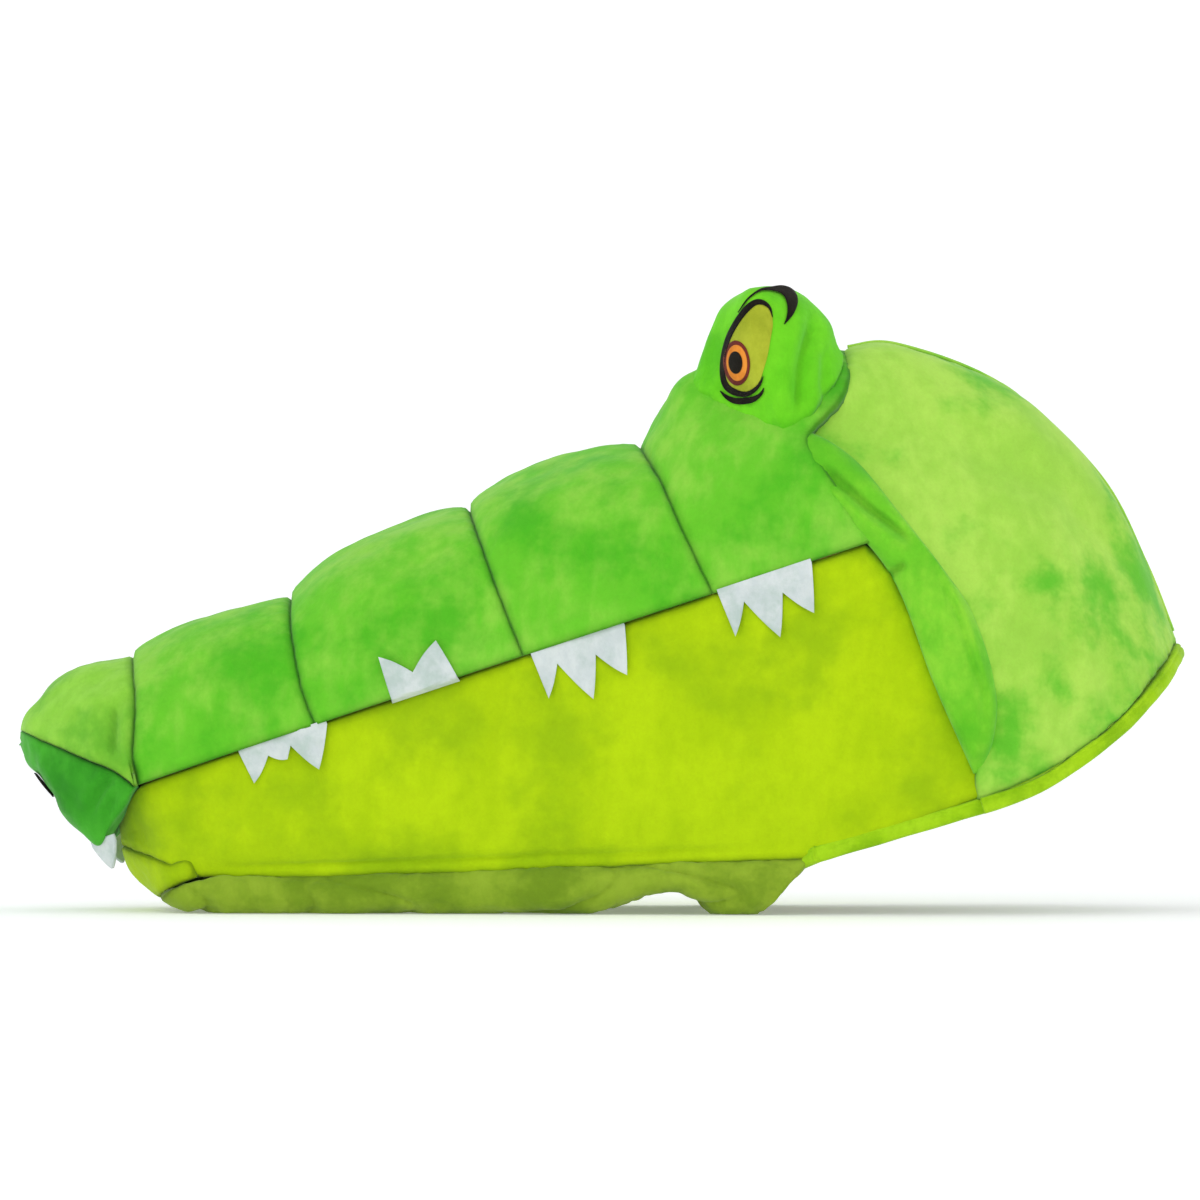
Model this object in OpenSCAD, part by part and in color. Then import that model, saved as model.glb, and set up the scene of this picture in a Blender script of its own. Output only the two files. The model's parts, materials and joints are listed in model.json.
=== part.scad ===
// Moving-mouth hand puppet: a plush crocodile head whose snout lifts off its jaw.
// Soft skins are lofted from a few section curves, and every skin has its own wall.
// The mouth frame has its origin on the hinge axis, -X ahead along the closed
// mouth line and +Z up; stand() tips it onto the table, nose down.

/* [Mouth] */
// Tilt of the closed mouth line when the jaw lies on the table
mouth_pitch = 18.4; // [15:0.2:22]
// How far the head lifts from the jaw, in degrees
mouth_open = 30; // [20:1:31]
// Gap between the closed upper and lower mouth linings
mouth_gap = 0.6; // [0.4:0.1:1.2]
// Fleece that lines the mouth
lining_t = 1.5; // [1:0.1:2.5]
// Stiff boards the fingers and the thumb push on
board_t = 2.5; // [1.5:0.1:4]

/* [Snout] */
// Nose, from the first groove to the tip
nose_l = 55; // [45:1:66]
// First, second and third quilted panels, from the nose back
panel_1_l = 67; // [55:1:82]
panel_2_l = 86; // [70:1:104]
panel_3_l = 76; // [62:1:92]
// Cheek, from the last groove to the hinge
cheek_l = 64; // [54:1:78]
// Width across the lip at the first groove
nose_w = 112; // [94:1:136]
// Width across the cheeks at the hinge
cheek_w = 170; // [142:1:204]
// Height of the snout above the mouth line at the four grooves, front to back
groove_1_h = 52; // [44:1:60]
groove_2_h = 54; // [46:1:62]
groove_3_h = 65; // [56:1:74]
groove_4_h = 68; // [60:1:78]
// How far a quilted panel swells above its grooves
panel_puff = 8; // [4:0.5:11]
// Height of the nose tip above the mouth line
nose_tip_h = 35; // [29:1:40]
// How far the nose lip hangs in front of the jaw
lip_drop = 17; // [12:1:20]

/* [Crown] */
// Height of the crown above the mouth line
crown_h = 80; // [70:1:92]
// From the hinge back to the rear of the neck opening
crown_l = 119; // [100:1:142]
// Drop of the neck opening below the hinge, at its side and at its rear
hem_side_drop = 113; // [104:1:120]
hem_rear_drop = 80; // [68:1:92]
// Plush and foam of every outer skin
skin_t = 6; // [4:0.5:8]
// Binding round the neck opening: its height and its thickness
hem_h = 6.4; // [4:0.2:9]
hem_t = 7; // [5:0.5:9]
// Rolled piping on the crown's middle seam
seam_r = 0.8; // [0.6:0.1:1.4]

/* [Jaw] */
// Depth of the chin below the mouth line
chin_drop = 58; // [48:1:68]
// Height of the seam between side and underside above the table, front and rear
seam_front_h = 19; // [15:1:24]
seam_rear_h = 28; // [22:1:34]
// Thickness of the padded underside
underside_t = 10; // [7:0.5:14]
// How far the lips of the jaw stand in from the lips of the snout
jaw_inset = 2.2; // [2:0.1:3]

/* [Eyes] */
// Height of the eye mounds above the mouth line
eye_top_h = 111; // [100:1:122]
// Distance between the middles of the eye mounds
eye_gap = 92; // [80:1:104]
// Half the length and half the spread of a mound
eye_len = 33; // [26:1:35]
eye_spread = 20; // [16:1:24]
// Thickness of the printed eye patches
print_t = 0.6; // [0.4:0.1:1]

/* [Teeth] */
// Thickness of the felt teeth
felt_t = 1.4; // [1:0.1:1.5]
// Air between a tooth and the lip it overlaps
tooth_gap = 0.4; // [0.3:0.1:0.5]

/* [Hidden] */

light_green = [0.62, 0.86, 0.30];
mid_green = [0.40, 0.75, 0.14];
deep_green = [0.24, 0.62, 0.14];
lime = [0.66, 0.80, 0.04];
lime_shade = [0.50, 0.64, 0.14];
coral = [0.83, 0.27, 0.30];
felt_white = [0.85, 0.88, 0.88];
ink = [0.07, 0.06, 0.05];

gap = 0.3;       // air between neighbouring pieces that don't rub
touch = 0.1;     // air between sewn neighbours
seat = 1;        // air between a board or a filling and the skin round it
arch_f = 0.8;    // roundness of a snout section, 1 is an ellipse

// Stations along the mouth line, the hinge at zero
groove_4 = -cheek_l;
groove_3 = groove_4 - panel_3_l;
groove_2 = groove_3 - panel_2_l;
groove_1 = groove_2 - panel_1_l;
nose_tip = groove_1 - nose_l;
lip_start = groove_1 - 4;
lip_end = nose_tip + 23;
chin_x = lip_end + 7;

hinge_z = -lip_start * sin(mouth_pitch) + chin_drop * cos(mouth_pitch);
// The nose tip and the rear hem lie as far from the middle
hinge_x = -((nose_tip + crown_l) * cos(mouth_pitch)
  + (hem_rear_drop + hem_h / 2 - nose_tip_h) * sin(mouth_pitch)) / 2;

// The jowl's front edge, as [height, station]; the gusset and the cheek end there
jowl_front = [[-104, 20], [-62, 16], [-18, 14], [12, 4], [48, -6], [58, 8],
  [70, 20], [90, 24]];
// The jowl's rear edge, where the crown starts
jowl_rear = [[-112, 21], [-104, 24], [-77, 37], [-42, 39], [-19, 33], [18, 20], [48, 10],
  [58, 14], [70, 24], [90, 27]];
jowl_lean = 11;                               // least lean of the jowl's front edge
gusset_lean = mouth_open + 4.5 - jowl_lean;   // lean of the jaw's rear edge, forward
gusset_start = 7;                             // the gusset begins this far below the hinge

// ---- curves ----

function mix(a, b, t) = a + (b - a) * t;
function clamp(x, lo, hi) = min(max(x, lo), hi);
function smooth(t) = let (c = clamp(t, 0, 1)) c * c * (3 - 2 * c);
function unit(v) = v / norm(v);

// Slope of a table of [x, y] pairs at its point i
function slope(t, i) =
  let (a = t[max(i - 1, 0)], b = t[min(i + 1, len(t) - 1)]) (b[1] - a[1]) / (b[0] - a[0]);

// Smooth curve through a table of [x, y] pairs
function curve(t, x) =
  let (q = clamp(x, t[0][0], t[len(t) - 1][0]),
       i = max([for (k = [0:len(t) - 2]) t[k][0] <= q ? k : 0]),
       h = t[i + 1][0] - t[i][0], s = (q - t[i][0]) / h,
       a = t[i][1], b = t[i + 1][1], da = slope(t, i) * h, db = slope(t, i + 1) * h)
  a * (2 * s * s * s - 3 * s * s + 1) + da * (s * s * s - 2 * s * s + s)
  + b * (3 * s * s - 2 * s * s * s) + db * (s * s * s - s * s);

// ---- solids from grids ----

function quads(rows, cols, start, flip) =
  [for (i = [0:rows - 2], j = [0:cols - 2], k = [0, 1])
    let (a = start + i * cols + j, b = a + 1, c = a + cols, d = c + 1)
    k == 0 ? (flip ? [a, c, b] : [a, b, c]) : (flip ? [b, c, d] : [b, d, c])];

function border(rows, cols) = concat(
  [for (j = [0:cols - 1]) j],
  [for (i = [1:rows - 1]) i * cols + cols - 1],
  [for (j = [cols - 2:-1:0]) (rows - 1) * cols + j],
  [for (i = [rows - 2:-1:1]) i * cols]);

// A wall between two grids of the same size, closed round its edges
module wall(outer, inner) {
  rows = len(outer);
  cols = len(outer[0]);
  n = rows * cols;
  edge = border(rows, cols);
  polyhedron(
    points = concat([for (r = outer) each r], [for (r = inner) each r]),
    faces = concat(
      quads(rows, cols, 0, false),
      quads(rows, cols, n, true),
      [for (k = [0:len(edge) - 1], h = [0, 1])
        let (p = edge[k], q = edge[(k + 1) % len(edge)])
        h == 0 ? [q, p, p + n] : [q, p + n, q + n]]));
}

// A closed tube through rings of points, with flat ends
module loft(rings) {
  n = len(rings[0]);
  m = len(rings);
  polyhedron(
    points = [for (r = rings) each r],
    faces = concat(
      [[for (j = [0:n - 1]) j]],
      [for (i = [0:m - 2], j = [0:n - 1], k = [0, 1])
        let (a = i * n + j, b = i * n + (j + 1) % n, c = a + n, d = b + n)
        k == 0 ? [a, c, b] : [b, c, d]],
      [[for (j = [n - 1:-1:0]) (m - 1) * n + j]]));
}

// An oval tube along a path: h tall in the direction up, t thick across
module tube(path, up, h, t, sides = 8) {
  m = len(path);
  loft([for (i = [0:m - 1])
    let (ahead = unit(path[min(i + 1, m - 1)] - path[max(i - 1, 0)]),
         side = unit(cross(ahead, up[i])), top = unit(cross(side, ahead)))
    [for (k = [0:sides - 1]) path[i] - side * t[i] / 2 * cos(k * 360 / sides)
      + top * h[i] / 2 * sin(k * 360 / sides)]]);
}

// From the mouth frame to the table
module stand() {
  translate([hinge_x, 0, hinge_z]) rotate([0, -mouth_pitch, 0]) children();
}

module both(side) {
  mirror([0, side > 0 ? 1 : 0, 0]) children();
}

// ---- the head's surfaces ----

// Half width of the lips, straight in plan from the nose to the hinge
function lip_w(x) = mix(nose_w / 2, cheek_w / 2, clamp((x - groove_1) / -groove_1, 0, 1));
function nose_round(x) = x > groove_1 ? 1
  : pow(max(1 - pow(clamp((groove_1 - x) / nose_l, 0, 1), 2.4), 0.0001), 1 / 2.4);

ridge = [[nose_tip, nose_tip_h], [nose_tip + 5, nose_tip_h + 8], [nose_tip + 16, nose_tip_h + 14],
  [nose_tip + 33, groove_1_h + 2], [groove_1, groove_1_h], [groove_2, groove_2_h],
  [groove_3, groove_3_h], [groove_4, groove_4_h], [groove_4 + 30, crown_h - 3], [24, crown_h]];
grooves = [groove_1, groove_2, groove_3, groove_4];

// 0 in a groove and 1 in the middle of a quilted panel
function swell(x) = x <= groove_1 || x >= groove_4 ? 0
  : let (i = max([for (k = [0:2]) grooves[k] <= x ? k : 0]),
         s = (x - grooves[i]) / (grooves[i + 1] - grooves[i]))
    pow(max(sin(180 * pow(s, 0.85)), 0), 0.6) * (i == 0 ? 0.6 : 1);

function top_z(x) = curve(ridge, x) + panel_puff * swell(x);
function half_w(x) = (lip_w(x) + panel_puff * 0.35 * swell(x)) * nose_round(x);

// Underside of the head: level along the mouth, down the nose lip, up the nose's front
function base_z(x) = x >= lip_start ? mouth_gap / 2
  : x >= lip_end ? mix(mouth_gap / 2, -lip_drop, (lip_start - x) / (lip_start - lip_end))
  : mix(-lip_drop, nose_tip_h - 1, pow((lip_end - x) / (lip_end - nose_tip), 0.85));

// A point of the snout's section at x, phi from -90 to 90 over the top
function arch(x, phi, off) =
  let (b = base_z(x), w = max(half_w(x) - off, 0.4), h = max(top_z(x) - b - off, 0.4))
  [x, sign(phi) * w * pow(abs(sin(phi)), arch_f), b + h * pow(abs(cos(phi)), arch_f)];

arch_steps = 20;
function arch_angles(n = arch_steps) = [for (k = [0:n]) -90 + 180 * k / n];

// A skin over the snout between two stations
module snout_skin(x0, x1, steps, thick) {
  xs = [for (i = [0:steps]) mix(x0, x1, i / steps)];
  wall([for (x = xs) [for (p = arch_angles()) arch(x, p, 0)]],
       [for (x = xs) [for (p = arch_angles()) arch(x, p, thick)]]);
}

module nose_cap() {
  color(light_green) stand() snout_skin(nose_tip + 1.5, groove_1 - gap, 9, skin_t - 1);
}

// The nose's front, inside the cap's edge
module nose_front_panel() {
  steps = 6;
  function at(i, k, off) =
    let (s = mix(0.02, 0.8, i / steps), x = mix(lip_end, nose_tip, s),
         w = half_w(x) - skin_t + 0.4)
    [x + off, w * k, base_z(x) + off * 0.5];
  ks = [-1, -0.75, -0.4, 0, 0.4, 0.75, 1];
  color(deep_green) stand()
    wall([for (i = [0:steps]) [for (k = ks) at(i, k, 0)]],
         [for (i = [0:steps]) [for (k = ks) at(i, k, 3)]]);
}

nostril_r = 7;
nostril_t = 0.8;

// A flat almond of felt on the nose's front
module nostril(side) {
  x = mix(lip_end, nose_tip, 0.72);
  color(ink) stand() both(side)
    translate([x - 2.8, -half_w(x) * 0.42, base_z(x) - 1.9])
      rotate([0, atan2(lip_end - nose_tip, nose_tip_h + lip_drop) - 90, 0]) rotate([0, 0, 70])
        linear_extrude(height = nostril_t) scale([1, 0.5]) circle(r = nostril_r, $fn = 24);
}

module snout_panel_1() {
  color(mid_green) stand() snout_skin(groove_1 + gap, groove_2 - gap, 6, skin_t);
}

module snout_panel_2() {
  color(mid_green) stand() snout_skin(groove_2 + gap, groove_3 - gap, 6, skin_t);
}

module snout_panel_3() {
  color(mid_green) stand() snout_skin(groove_3 + gap, groove_4 - gap, 6, skin_t);
}

// A point of the cheek, s from the last groove to the jowl
function cheek(s, phi, off) =
  let (p = arch(mix(groove_4 + gap, 24, s), phi, off))
  [mix(groove_4 + gap, curve(jowl_front, p[2]) - gap, s), p[1], p[2]];

module cheek_panel() {
  steps = 6;
  color(mid_green) stand()
    wall([for (i = [0:steps]) [for (p = arch_angles()) cheek(i / steps, p, 0)]],
         [for (i = [0:steps]) [for (p = arch_angles()) cheek(i / steps, p, skin_t)]]);
}

// A closed section of the filling at x, lifted clear of the boards
function core(x, off, floor_z) =
  [for (k = [0:14])
    let (p = arch(x, -84 + 168 * k / 14, off)) [p[0], p[1], max(p[2], floor_z)]];

board_top = mouth_gap / 2 + lining_t + board_t;
board_front = groove_1 + 12;
stuffing_end = groove_2 + 12;

module snout_stuffing() {
  steps = 9;
  color("white") stand()
    loft([for (i = [0:steps])
      let (x = mix(stuffing_end, lip_start, i / steps)) core(x, skin_t + 2.5, board_top + gap)]);
}

// A plate in plan under the snout, between heights z0 and z1
module mouth_plate(z0, z1, front, rear, inset) {
  steps = 8;
  side = [for (i = [0:steps]) let (x = mix(front, rear, i / steps)) [x, lip_w(x) - inset]];
  translate([0, 0, z0]) linear_extrude(height = z1 - z0)
    polygon(concat([[front - 14, -side[0][1] * 0.55]], [for (p = side) [p[0], -p[1]]],
      [for (i = [steps:-1:0]) side[i]], [[front - 14, side[0][1] * 0.55]]));
}

module palate_lining() {
  color(coral) stand() mouth_plate(mouth_gap / 2, mouth_gap / 2 + lining_t,
    board_front, -10, skin_t + seat);
}

module upper_mouth_board() {
  color("dimgray") stand() mouth_plate(mouth_gap / 2 + lining_t, board_top,
    board_front, -14, skin_t + seat);
}

// A sewn sleeve on a mouth board, open to the rear
module sleeve(length, rear, wide, tall, t) {
  translate([rear - length, -wide / 2, 0]) difference() {
    cube([length, wide, tall]);
    translate([t, t, t]) cube([length, wide - 2 * t, tall - 2 * t]);
  }
}

pocket_t = 1.5;
pocket_rear = -24;

module finger_pocket() {
  color(coral) stand() translate([0, 0, board_top])
    sleeve(104, pocket_rear, 92, 38, pocket_t);
}

// ---- the crown ----

crest_path = [[26, crown_h], [48, crown_h - 6], [84, crown_h - 36], [crown_l - 9, -3],
  [crown_l - 2, -44], [crown_l, -hem_rear_drop]];
hem_x0 = 20;

// A point along the crown's middle, t from 0 at the eyes to 1 at the rear hem
function crest_at(t) =
  let (n = len(crest_path) - 1,
       xs = [for (i = [0:n]) [i / n, crest_path[i][0]]],
       zs = [for (i = [0:n]) [i / n, crest_path[i][1]]])
  [curve(xs, t), curve(zs, t)];

// A point of the neck edge, a from 90 at the jowl to 0 at the rear
function neck_edge(a) =
  [mix(hem_x0, crown_l, cos(a)), cheek_w / 2 * sin(a),
   mix(-hem_side_drop, -hem_rear_drop, pow(cos(a), 2.2))];

// A point of the crown: u from jowl to rear hem, v from -1 to 1 across
function crown(u, v, off) =
  let (a = 90 - 45 * u, f = 0.55 + 0.45 * u, e = neck_edge(a), c = crest_at(u),
       reach = (pow(cos(v * a), f) - pow(cos(a), f)) / (1 - pow(cos(a), f)),
       w = cheek_w / 2 * sin(a) * pow(abs(sin(v * a)) / sin(a), f),
       lean = curve(jowl_rear, mix(-hem_side_drop, crown_h, reach))
         - mix(hem_x0, crest_path[0][0], reach),
       p = [mix(e[0], c[0], reach) + pow(1 - u, 2) * lean, sign(v) * (w + gap / 2),
         mix(e[2], c[1], reach)],
       inward = unit([30 - p[0] * 0.8 - 12 * u, -p[1], -30 - p[2]]))
  p + inward * off;

// Half width of the crown at its front edge, at height z
function crown_side_y(z) =
  let (reach = (z + hem_side_drop) / (crown_h + hem_side_drop))
  cheek_w / 2 * pow(max(1 - pow(reach, 2 / 0.55), 0.01), 0.55 / 2);

crown_rows = 12;
crown_cols = 14;

module crown_half(side) {
  us = [for (i = [0:crown_rows]) mix(0.005, 1, i / crown_rows)];
  vs = [for (k = [0:crown_cols])
    let (t = min(k / crown_cols, 0.998), a = pow(t, 1.7), b = pow(1 - t, 1.7)) -b / (a + b)];
  color(light_green) stand() both(side)
    wall([for (u = us) [for (v = vs) crown(u, v, 0)]],
         [for (u = us) [for (v = vs) crown(u, v, skin_t)]]);
}

module crown_seam() {
  path = [for (i = [0:14]) let (c = crest_at(mix(0.02, 0.97, i / 14)))
    [c[0], 0, c[1]] + unit([c[0] - 10, 0, c[1] + 40]) * (seam_r + 2 * touch)];
  color(mid_green) stand() tube(path, [for (p = path) [0, 1, 0]], [for (p = path) 0.9],
    [for (p = path) seam_r * 2], 8);
}

// Binding round the crown's part of the neck opening
module crown_hem() {
  as = [for (k = [0:36]) -88 + 176 * k / 36];
  color(lime) stand() tube([for (a = as)
      let (e = neck_edge(abs(a))) [e[0] - hem_t * 0.2, sign(a) * (e[1] - hem_t * 0.3),
        e[2] - hem_h / 2 - touch]],
    [for (a = as) [0, 0, 1]], [for (a = as) hem_h], [for (a = as) hem_t]);
}

// Padded roll between cheek and crown
module jowl(side) {
  zs = [for (i = [0:16]) mix(-100, 50, i / 16)];
  steps = 10;
  color(mid_green) stand() both(side)
    loft([for (z = zs)
      let (x0 = curve(jowl_front, z) + 1, x1 = curve(jowl_rear, z) - 1.5, y = crown_side_y(z),
           t = 7 * smooth((z + 104) / 16) * smooth((56 - z) / 16) + 1.2)
      [for (k = [0:steps - 1])
        [mix(x0, x1, 0.5 - cos(k * 360 / steps) / 2), -(y - 2 + t * sin(k * 360 / steps)), z]]]);
}

// ---- eyes ----

eye_x = -8;
eye_phi = 28;
eye_lean = 16;   // the top of a mound lies this far behind its base

// The ring where a mound is sewn to the cheek
function mound_base(a, g = 1) =
  cheek((eye_x + eye_len * 0.9 * g * cos(a) - groove_4) / (24 - groove_4),
    eye_phi + eye_spread * g * sin(a), -2 * gap);

// A point of the mound: a round it, tilt 90 at its base and 0 at its top
function mound(a, tilt, off) =
  let (b = mound_base(a), c = [eye_x + eye_lean, eye_gap / 2 + 2, 0],
       g = pow(sin(tilt), 0.5),
       p = [mix(c[0], b[0], g), mix(c[1], b[1], g), mix(b[2], eye_top_h, pow(cos(tilt), 0.9))],
       n = unit(p - [c[0], c[1] - 4, 72]))
  [p[0] + n[0] * off, -(p[1] + n[1] * off), p[2] + n[2] * off];

// The cheek's surface under the mound, shrunk by g towards its middle
function mound_floor(a, g) =
  let (p = mound_base(a, g)) [p[0], -p[1], p[2]];

module eye_mound(side) {
  as = [for (k = [0:19]) -k * 18];
  color(mid_green) stand() both(side)
    loft(concat(
      [for (g = [0.15, 0.6]) [for (a = as) mound_floor(a, g)]],
      [for (tilt = [90, 78, 64, 50, 36, 22, 9]) [for (a = as) mound(a, tilt, 0)]]));
}

// A curved patch on the mound: middle, half size in degrees, and height above it
module eye_patch(a0, tilt0, da, dt, turn, low, high) {
  steps = 20;
  function at(r, k, off) =
    let (c = r * cos(k * 360 / steps), s = r * sin(k * 360 / steps))
    mound(a0 + da * (c * cos(turn) - s * sin(turn)),
      tilt0 + dt * (c * sin(turn) + s * cos(turn)), off);
  loft(concat(
    [for (r = [0.3, 0.7, 1]) [for (k = [0:steps - 1]) at(r, k, low)]],
    [for (r = [1, 0.7, 0.3]) [for (k = [0:steps - 1]) at(r, k, high)]]));
}

eye_a = 90;
eye_tilt = 55;

module eye_white(side) {
  color([0.65, 0.69, 0.17]) stand() both(side)
    eye_patch(eye_a, eye_tilt, 27, 21, 8, touch, touch + print_t);
}

module iris(side) {
  color([0.85, 0.45, 0.13]) stand() both(side)
    eye_patch(eye_a + 11, eye_tilt + 4, 14, 12, 8, 2 * touch + print_t, 2 * touch + 1.5 * print_t);
}

module pupil(side) {
  color(ink) stand() both(side)
    eye_patch(eye_a + 12, eye_tilt + 5, 5.5, 5.5, 8, 3 * touch + 1.5 * print_t,
      3 * touch + 2 * print_t);
}

// Black crescent over the rear of the eye
module brow_mark(side) {
  steps = 10;
  function at(i, k, off) =
    let (t = i / steps, half = 0.8 + 5.5 * sin(180 * pow(t, 0.8)))
    mound(mix(105, 25, t), mix(24, 46, t * t) + k * half, off);
  color(ink) stand() both(side)
    wall([for (i = [0:steps]) [for (k = [-1, 0, 1]) at(i, k, touch)]],
         [for (i = [0:steps]) [for (k = [-1, 0, 1]) at(i, k, touch + print_t)]]);
}

// ---- teeth ----

plan_turn = atan2((cheek_w - nose_w) / 2, -groove_1);

// Felt teeth in one piece, from a list of [station, height], on the side of the lips
module felt(outline, off) {
  x0 = outline[0][0];
  translate([x0, -(lip_w(x0) + off), 0]) rotate([0, 0, -plan_turn])
    rotate([90, 0, 0]) linear_extrude(height = felt_t)
      polygon([for (p = outline) [(p[0] - x0) / cos(plan_turn), p[1]]]);
}

upper_off = tooth_gap - jaw_inset;
tooth_root = mouth_gap / 2 - touch;
// The three big teeth of a group, from the group's front
three_teeth = [[0, tooth_root], [0, -19], [9, -7], [18, -25], [25, -8], [34, -20],
  [40, tooth_root]];

module upper_teeth_front(side) {
  color(felt_white) stand() both(side)
    felt([for (p = [[-35, tooth_root], [-34, -14], [-25, -5], [-18, -9], [-15, -4], [-7, -17],
      [2, tooth_root]]) [groove_2 + p[0], p[1]]], upper_off);
}

module upper_teeth_middle(side) {
  color(felt_white) stand() both(side)
    felt([for (p = three_teeth) [groove_3 + 4 + p[0], p[1]]], upper_off);
}

module upper_teeth_rear(side) {
  color(felt_white) stand() both(side)
    felt([for (p = three_teeth) [groove_4 + 8 + p[0], p[1]]], upper_off);
}

// Pair of teeth that stand up from the jaw over the snout's side
module lower_teeth(side) {
  swell_out = panel_puff * 0.35 + tooth_gap;
  x0 = groove_2 + 30;
  tab = [[x0, -6], [x0, -mouth_gap], [x0 + 29, -mouth_gap], [x0 + 29, -6]];
  color(felt_white) stand() both(side) union() {
    felt([[x0, -6], [x0, 19], [x0 + 12, 9], [x0 + 25, 18], [x0 + 29, -6]], swell_out);
    for (layer = [1, 2]) felt(tab, swell_out - layer * felt_t);
  }
}

// Two teeth that hang from the nose lip in front of the chin
module front_teeth() {
  color(felt_white) stand()
    for (side = [-1, 1]) translate([lip_end - 5, side * 20, -lip_drop + 1])
      rotate([90, 0, 90]) linear_extrude(height = felt_t)
        polygon([[-8, 0], [0, -16], [8, 0]]);
}

// ---- the jaw ----

function table_z(x) = -(hinge_z + x * sin(mouth_pitch)) / cos(mouth_pitch);
function seam_h(x) = mix(seam_front_h, seam_rear_h, smooth((x - lip_start) / -lip_start));
function seam_z(x) = table_z(x) + seam_h(x) / cos(mouth_pitch);
function jaw_w(x) = (lip_w(x) - jaw_inset)
  * (x > chin_x + 40 ? 1 : pow(max(1 - pow((chin_x + 40 - x) / 40, 2.6), 0.0001), 1 / 2.6));

jaw_top = -mouth_gap / 2;
// Top edge of the jaw, under the nose lip in front
function jaw_edge(x) = x >= lip_start ? jaw_top
  : jaw_top - gap - (lip_start - x) * lip_drop / (lip_start - lip_end);

chin_seam_x = chin_x + 12;
rear_edge_x = -gap - 3;

tooth_reach = 27;   // the jaw's side stays upright this far below the lip
seam_tuck = 4;      // the sides turn in by this much at the lower seam

// A point of the jaw's side: s from the chin seam to the rear edge, t down to the seam
function jaw_side_at(s, t, off) =
  let (x0 = mix(chin_seam_x, rear_edge_x, s),
       rear_depth = -seam_z(rear_edge_x - 100 * tan(gusset_lean)) ,
       x = x0 - t * s * s * s * rear_depth * tan(gusset_lean),
       z = mix(jaw_edge(x), seam_z(x), t),
       flat = min(0.6, tooth_reach / (jaw_edge(x) - seam_z(x))),
       belly = 3 * sin(180 * clamp((t - flat) / (1 - flat), 0, 1)))
  [x, off - jaw_w(x) - belly * smooth(4 * s) + seam_tuck * pow(t, 4), z];

module jaw_side(side) {
  rows = 18;
  cols = 6;
  color(lime) stand() both(side)
    wall([for (i = [0:rows]) [for (k = [0:cols]) jaw_side_at(i / rows, k / cols, skin_t)]],
         [for (i = [0:rows]) [for (k = [0:cols]) jaw_side_at(i / rows, k / cols, 0)]]);
}

// Front of the jaw, wrapped from side to side
module chin_panel() {
  rows = 12;
  cols = 4;
  function at(i, k, off) =
    let (v = -1 + 2 * i / rows, t = k / cols, half = jaw_w(chin_seam_x - gap),
         q = abs(v) * half / jaw_w(chin_x + 40),
         x = chin_x + 40 - 40 * pow(1 - pow(min(q, 0.999), 2.6), 1 / 2.6),
         z = mix(jaw_edge(x), seam_z(x), t))
    [x + off * (1 - v * v), v * (half - off * abs(v) - seam_tuck * pow(t, 4)), z];
  color(lime) stand()
    wall([for (i = [0:rows]) [for (k = [0:cols]) at(i, k, 0)]],
         [for (i = [0:rows]) [for (k = [0:cols]) at(i, k, skin_t)]]);
}

jaw_board_top = jaw_top - 2 * lining_t;
jaw_board_bottom = jaw_board_top - board_t;

module jaw_stuffing() {
  steps = 8;
  color("white") stand()
    loft([for (i = [0:steps])
      let (x = mix(stuffing_end, chin_seam_x + skin_t + 1, i / steps),
           w = jaw_w(x) - skin_t - 2 - seat,
           top = jaw_board_bottom - gap, low = table_z(x) + (underside_t + 3) / cos(mouth_pitch),
           lip = seam_z(x) + 3)
      [[x, -w, top], [x, w, top], [x, w, lip + 12], [x, w - 5, lip], [x, w * 0.5, low],
       [x, -w * 0.5, low], [x, 5 - w, lip], [x, -w, lip + 12]]]);
}

module mouth_floor_lining() {
  color(coral) stand() mouth_plate(jaw_board_top, jaw_top - lining_t, board_front, -10,
    jaw_inset + skin_t + seat);
}

module lower_mouth_board() {
  color("dimgray") stand() mouth_plate(jaw_board_bottom, jaw_board_top, board_front, -14,
    jaw_inset + skin_t + seat);
}

tongue_r = 24;

module tongue() {
  tip = groove_1 + 40;
  color("crimson") stand() translate([0, 0, jaw_top - lining_t + touch])
    linear_extrude(height = lining_t - 2 * touch) union() {
      translate([tip + tongue_r, 0]) circle(r = tongue_r, $fn = 48);
      translate([tip + tongue_r, -tongue_r]) square([-60 - tip - tongue_r, 2 * tongue_r]);
    }
}

module thumb_pocket() {
  color(coral) stand() translate([0, 0, jaw_board_bottom]) mirror([0, 0, 1])
    sleeve(84, pocket_rear, 62, 34, pocket_t);
}

// From the mouth frame to the table, for a point
function to_table(p) =
  [hinge_x + p[0] * cos(mouth_pitch) - p[2] * sin(mouth_pitch), p[1],
   hinge_z + p[0] * sin(mouth_pitch) + p[2] * cos(mouth_pitch)];

jaw_corner = to_table(jaw_side_at(1, 1, 0));
lip_x = 50;
lip_h = 2.5;
notch_x = 31;    // the underside lifts off the table here, in front of the sagging lip
notch_h = 16;

chin_front = to_table([chin_x, 0, seam_z(chin_x)])[0];

// Bottom of the padded underside: flat on the table in the middle, up to the seams
function underside_z(x, v) =
  let (h = seam_h(mouth_x(x)))
  -2 + (h - skin_t + 2) * pow(abs(v), 3.2)
  + (seam_front_h - 2) * pow(clamp(1 - (x - chin_front) / 26, 0, 1), 2) * (1 - v * v)
  + notch_h * (1 - v * v) * exp(-pow((x - notch_x) / (x < notch_x ? 27 : 11), 2));

// Station in the mouth frame of the point of the lower seam at x on the table
function mouth_x(x) =
  let (h = (seam_front_h + seam_rear_h) / 2)
  (x - hinge_x) * cos(mouth_pitch) + (h - hinge_z) * sin(mouth_pitch);

// Half width of the jaw at its lower seam, at x on the table
function seam_w(x) = lip_w(mouth_x(x)) - jaw_inset - seam_tuck;

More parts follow.
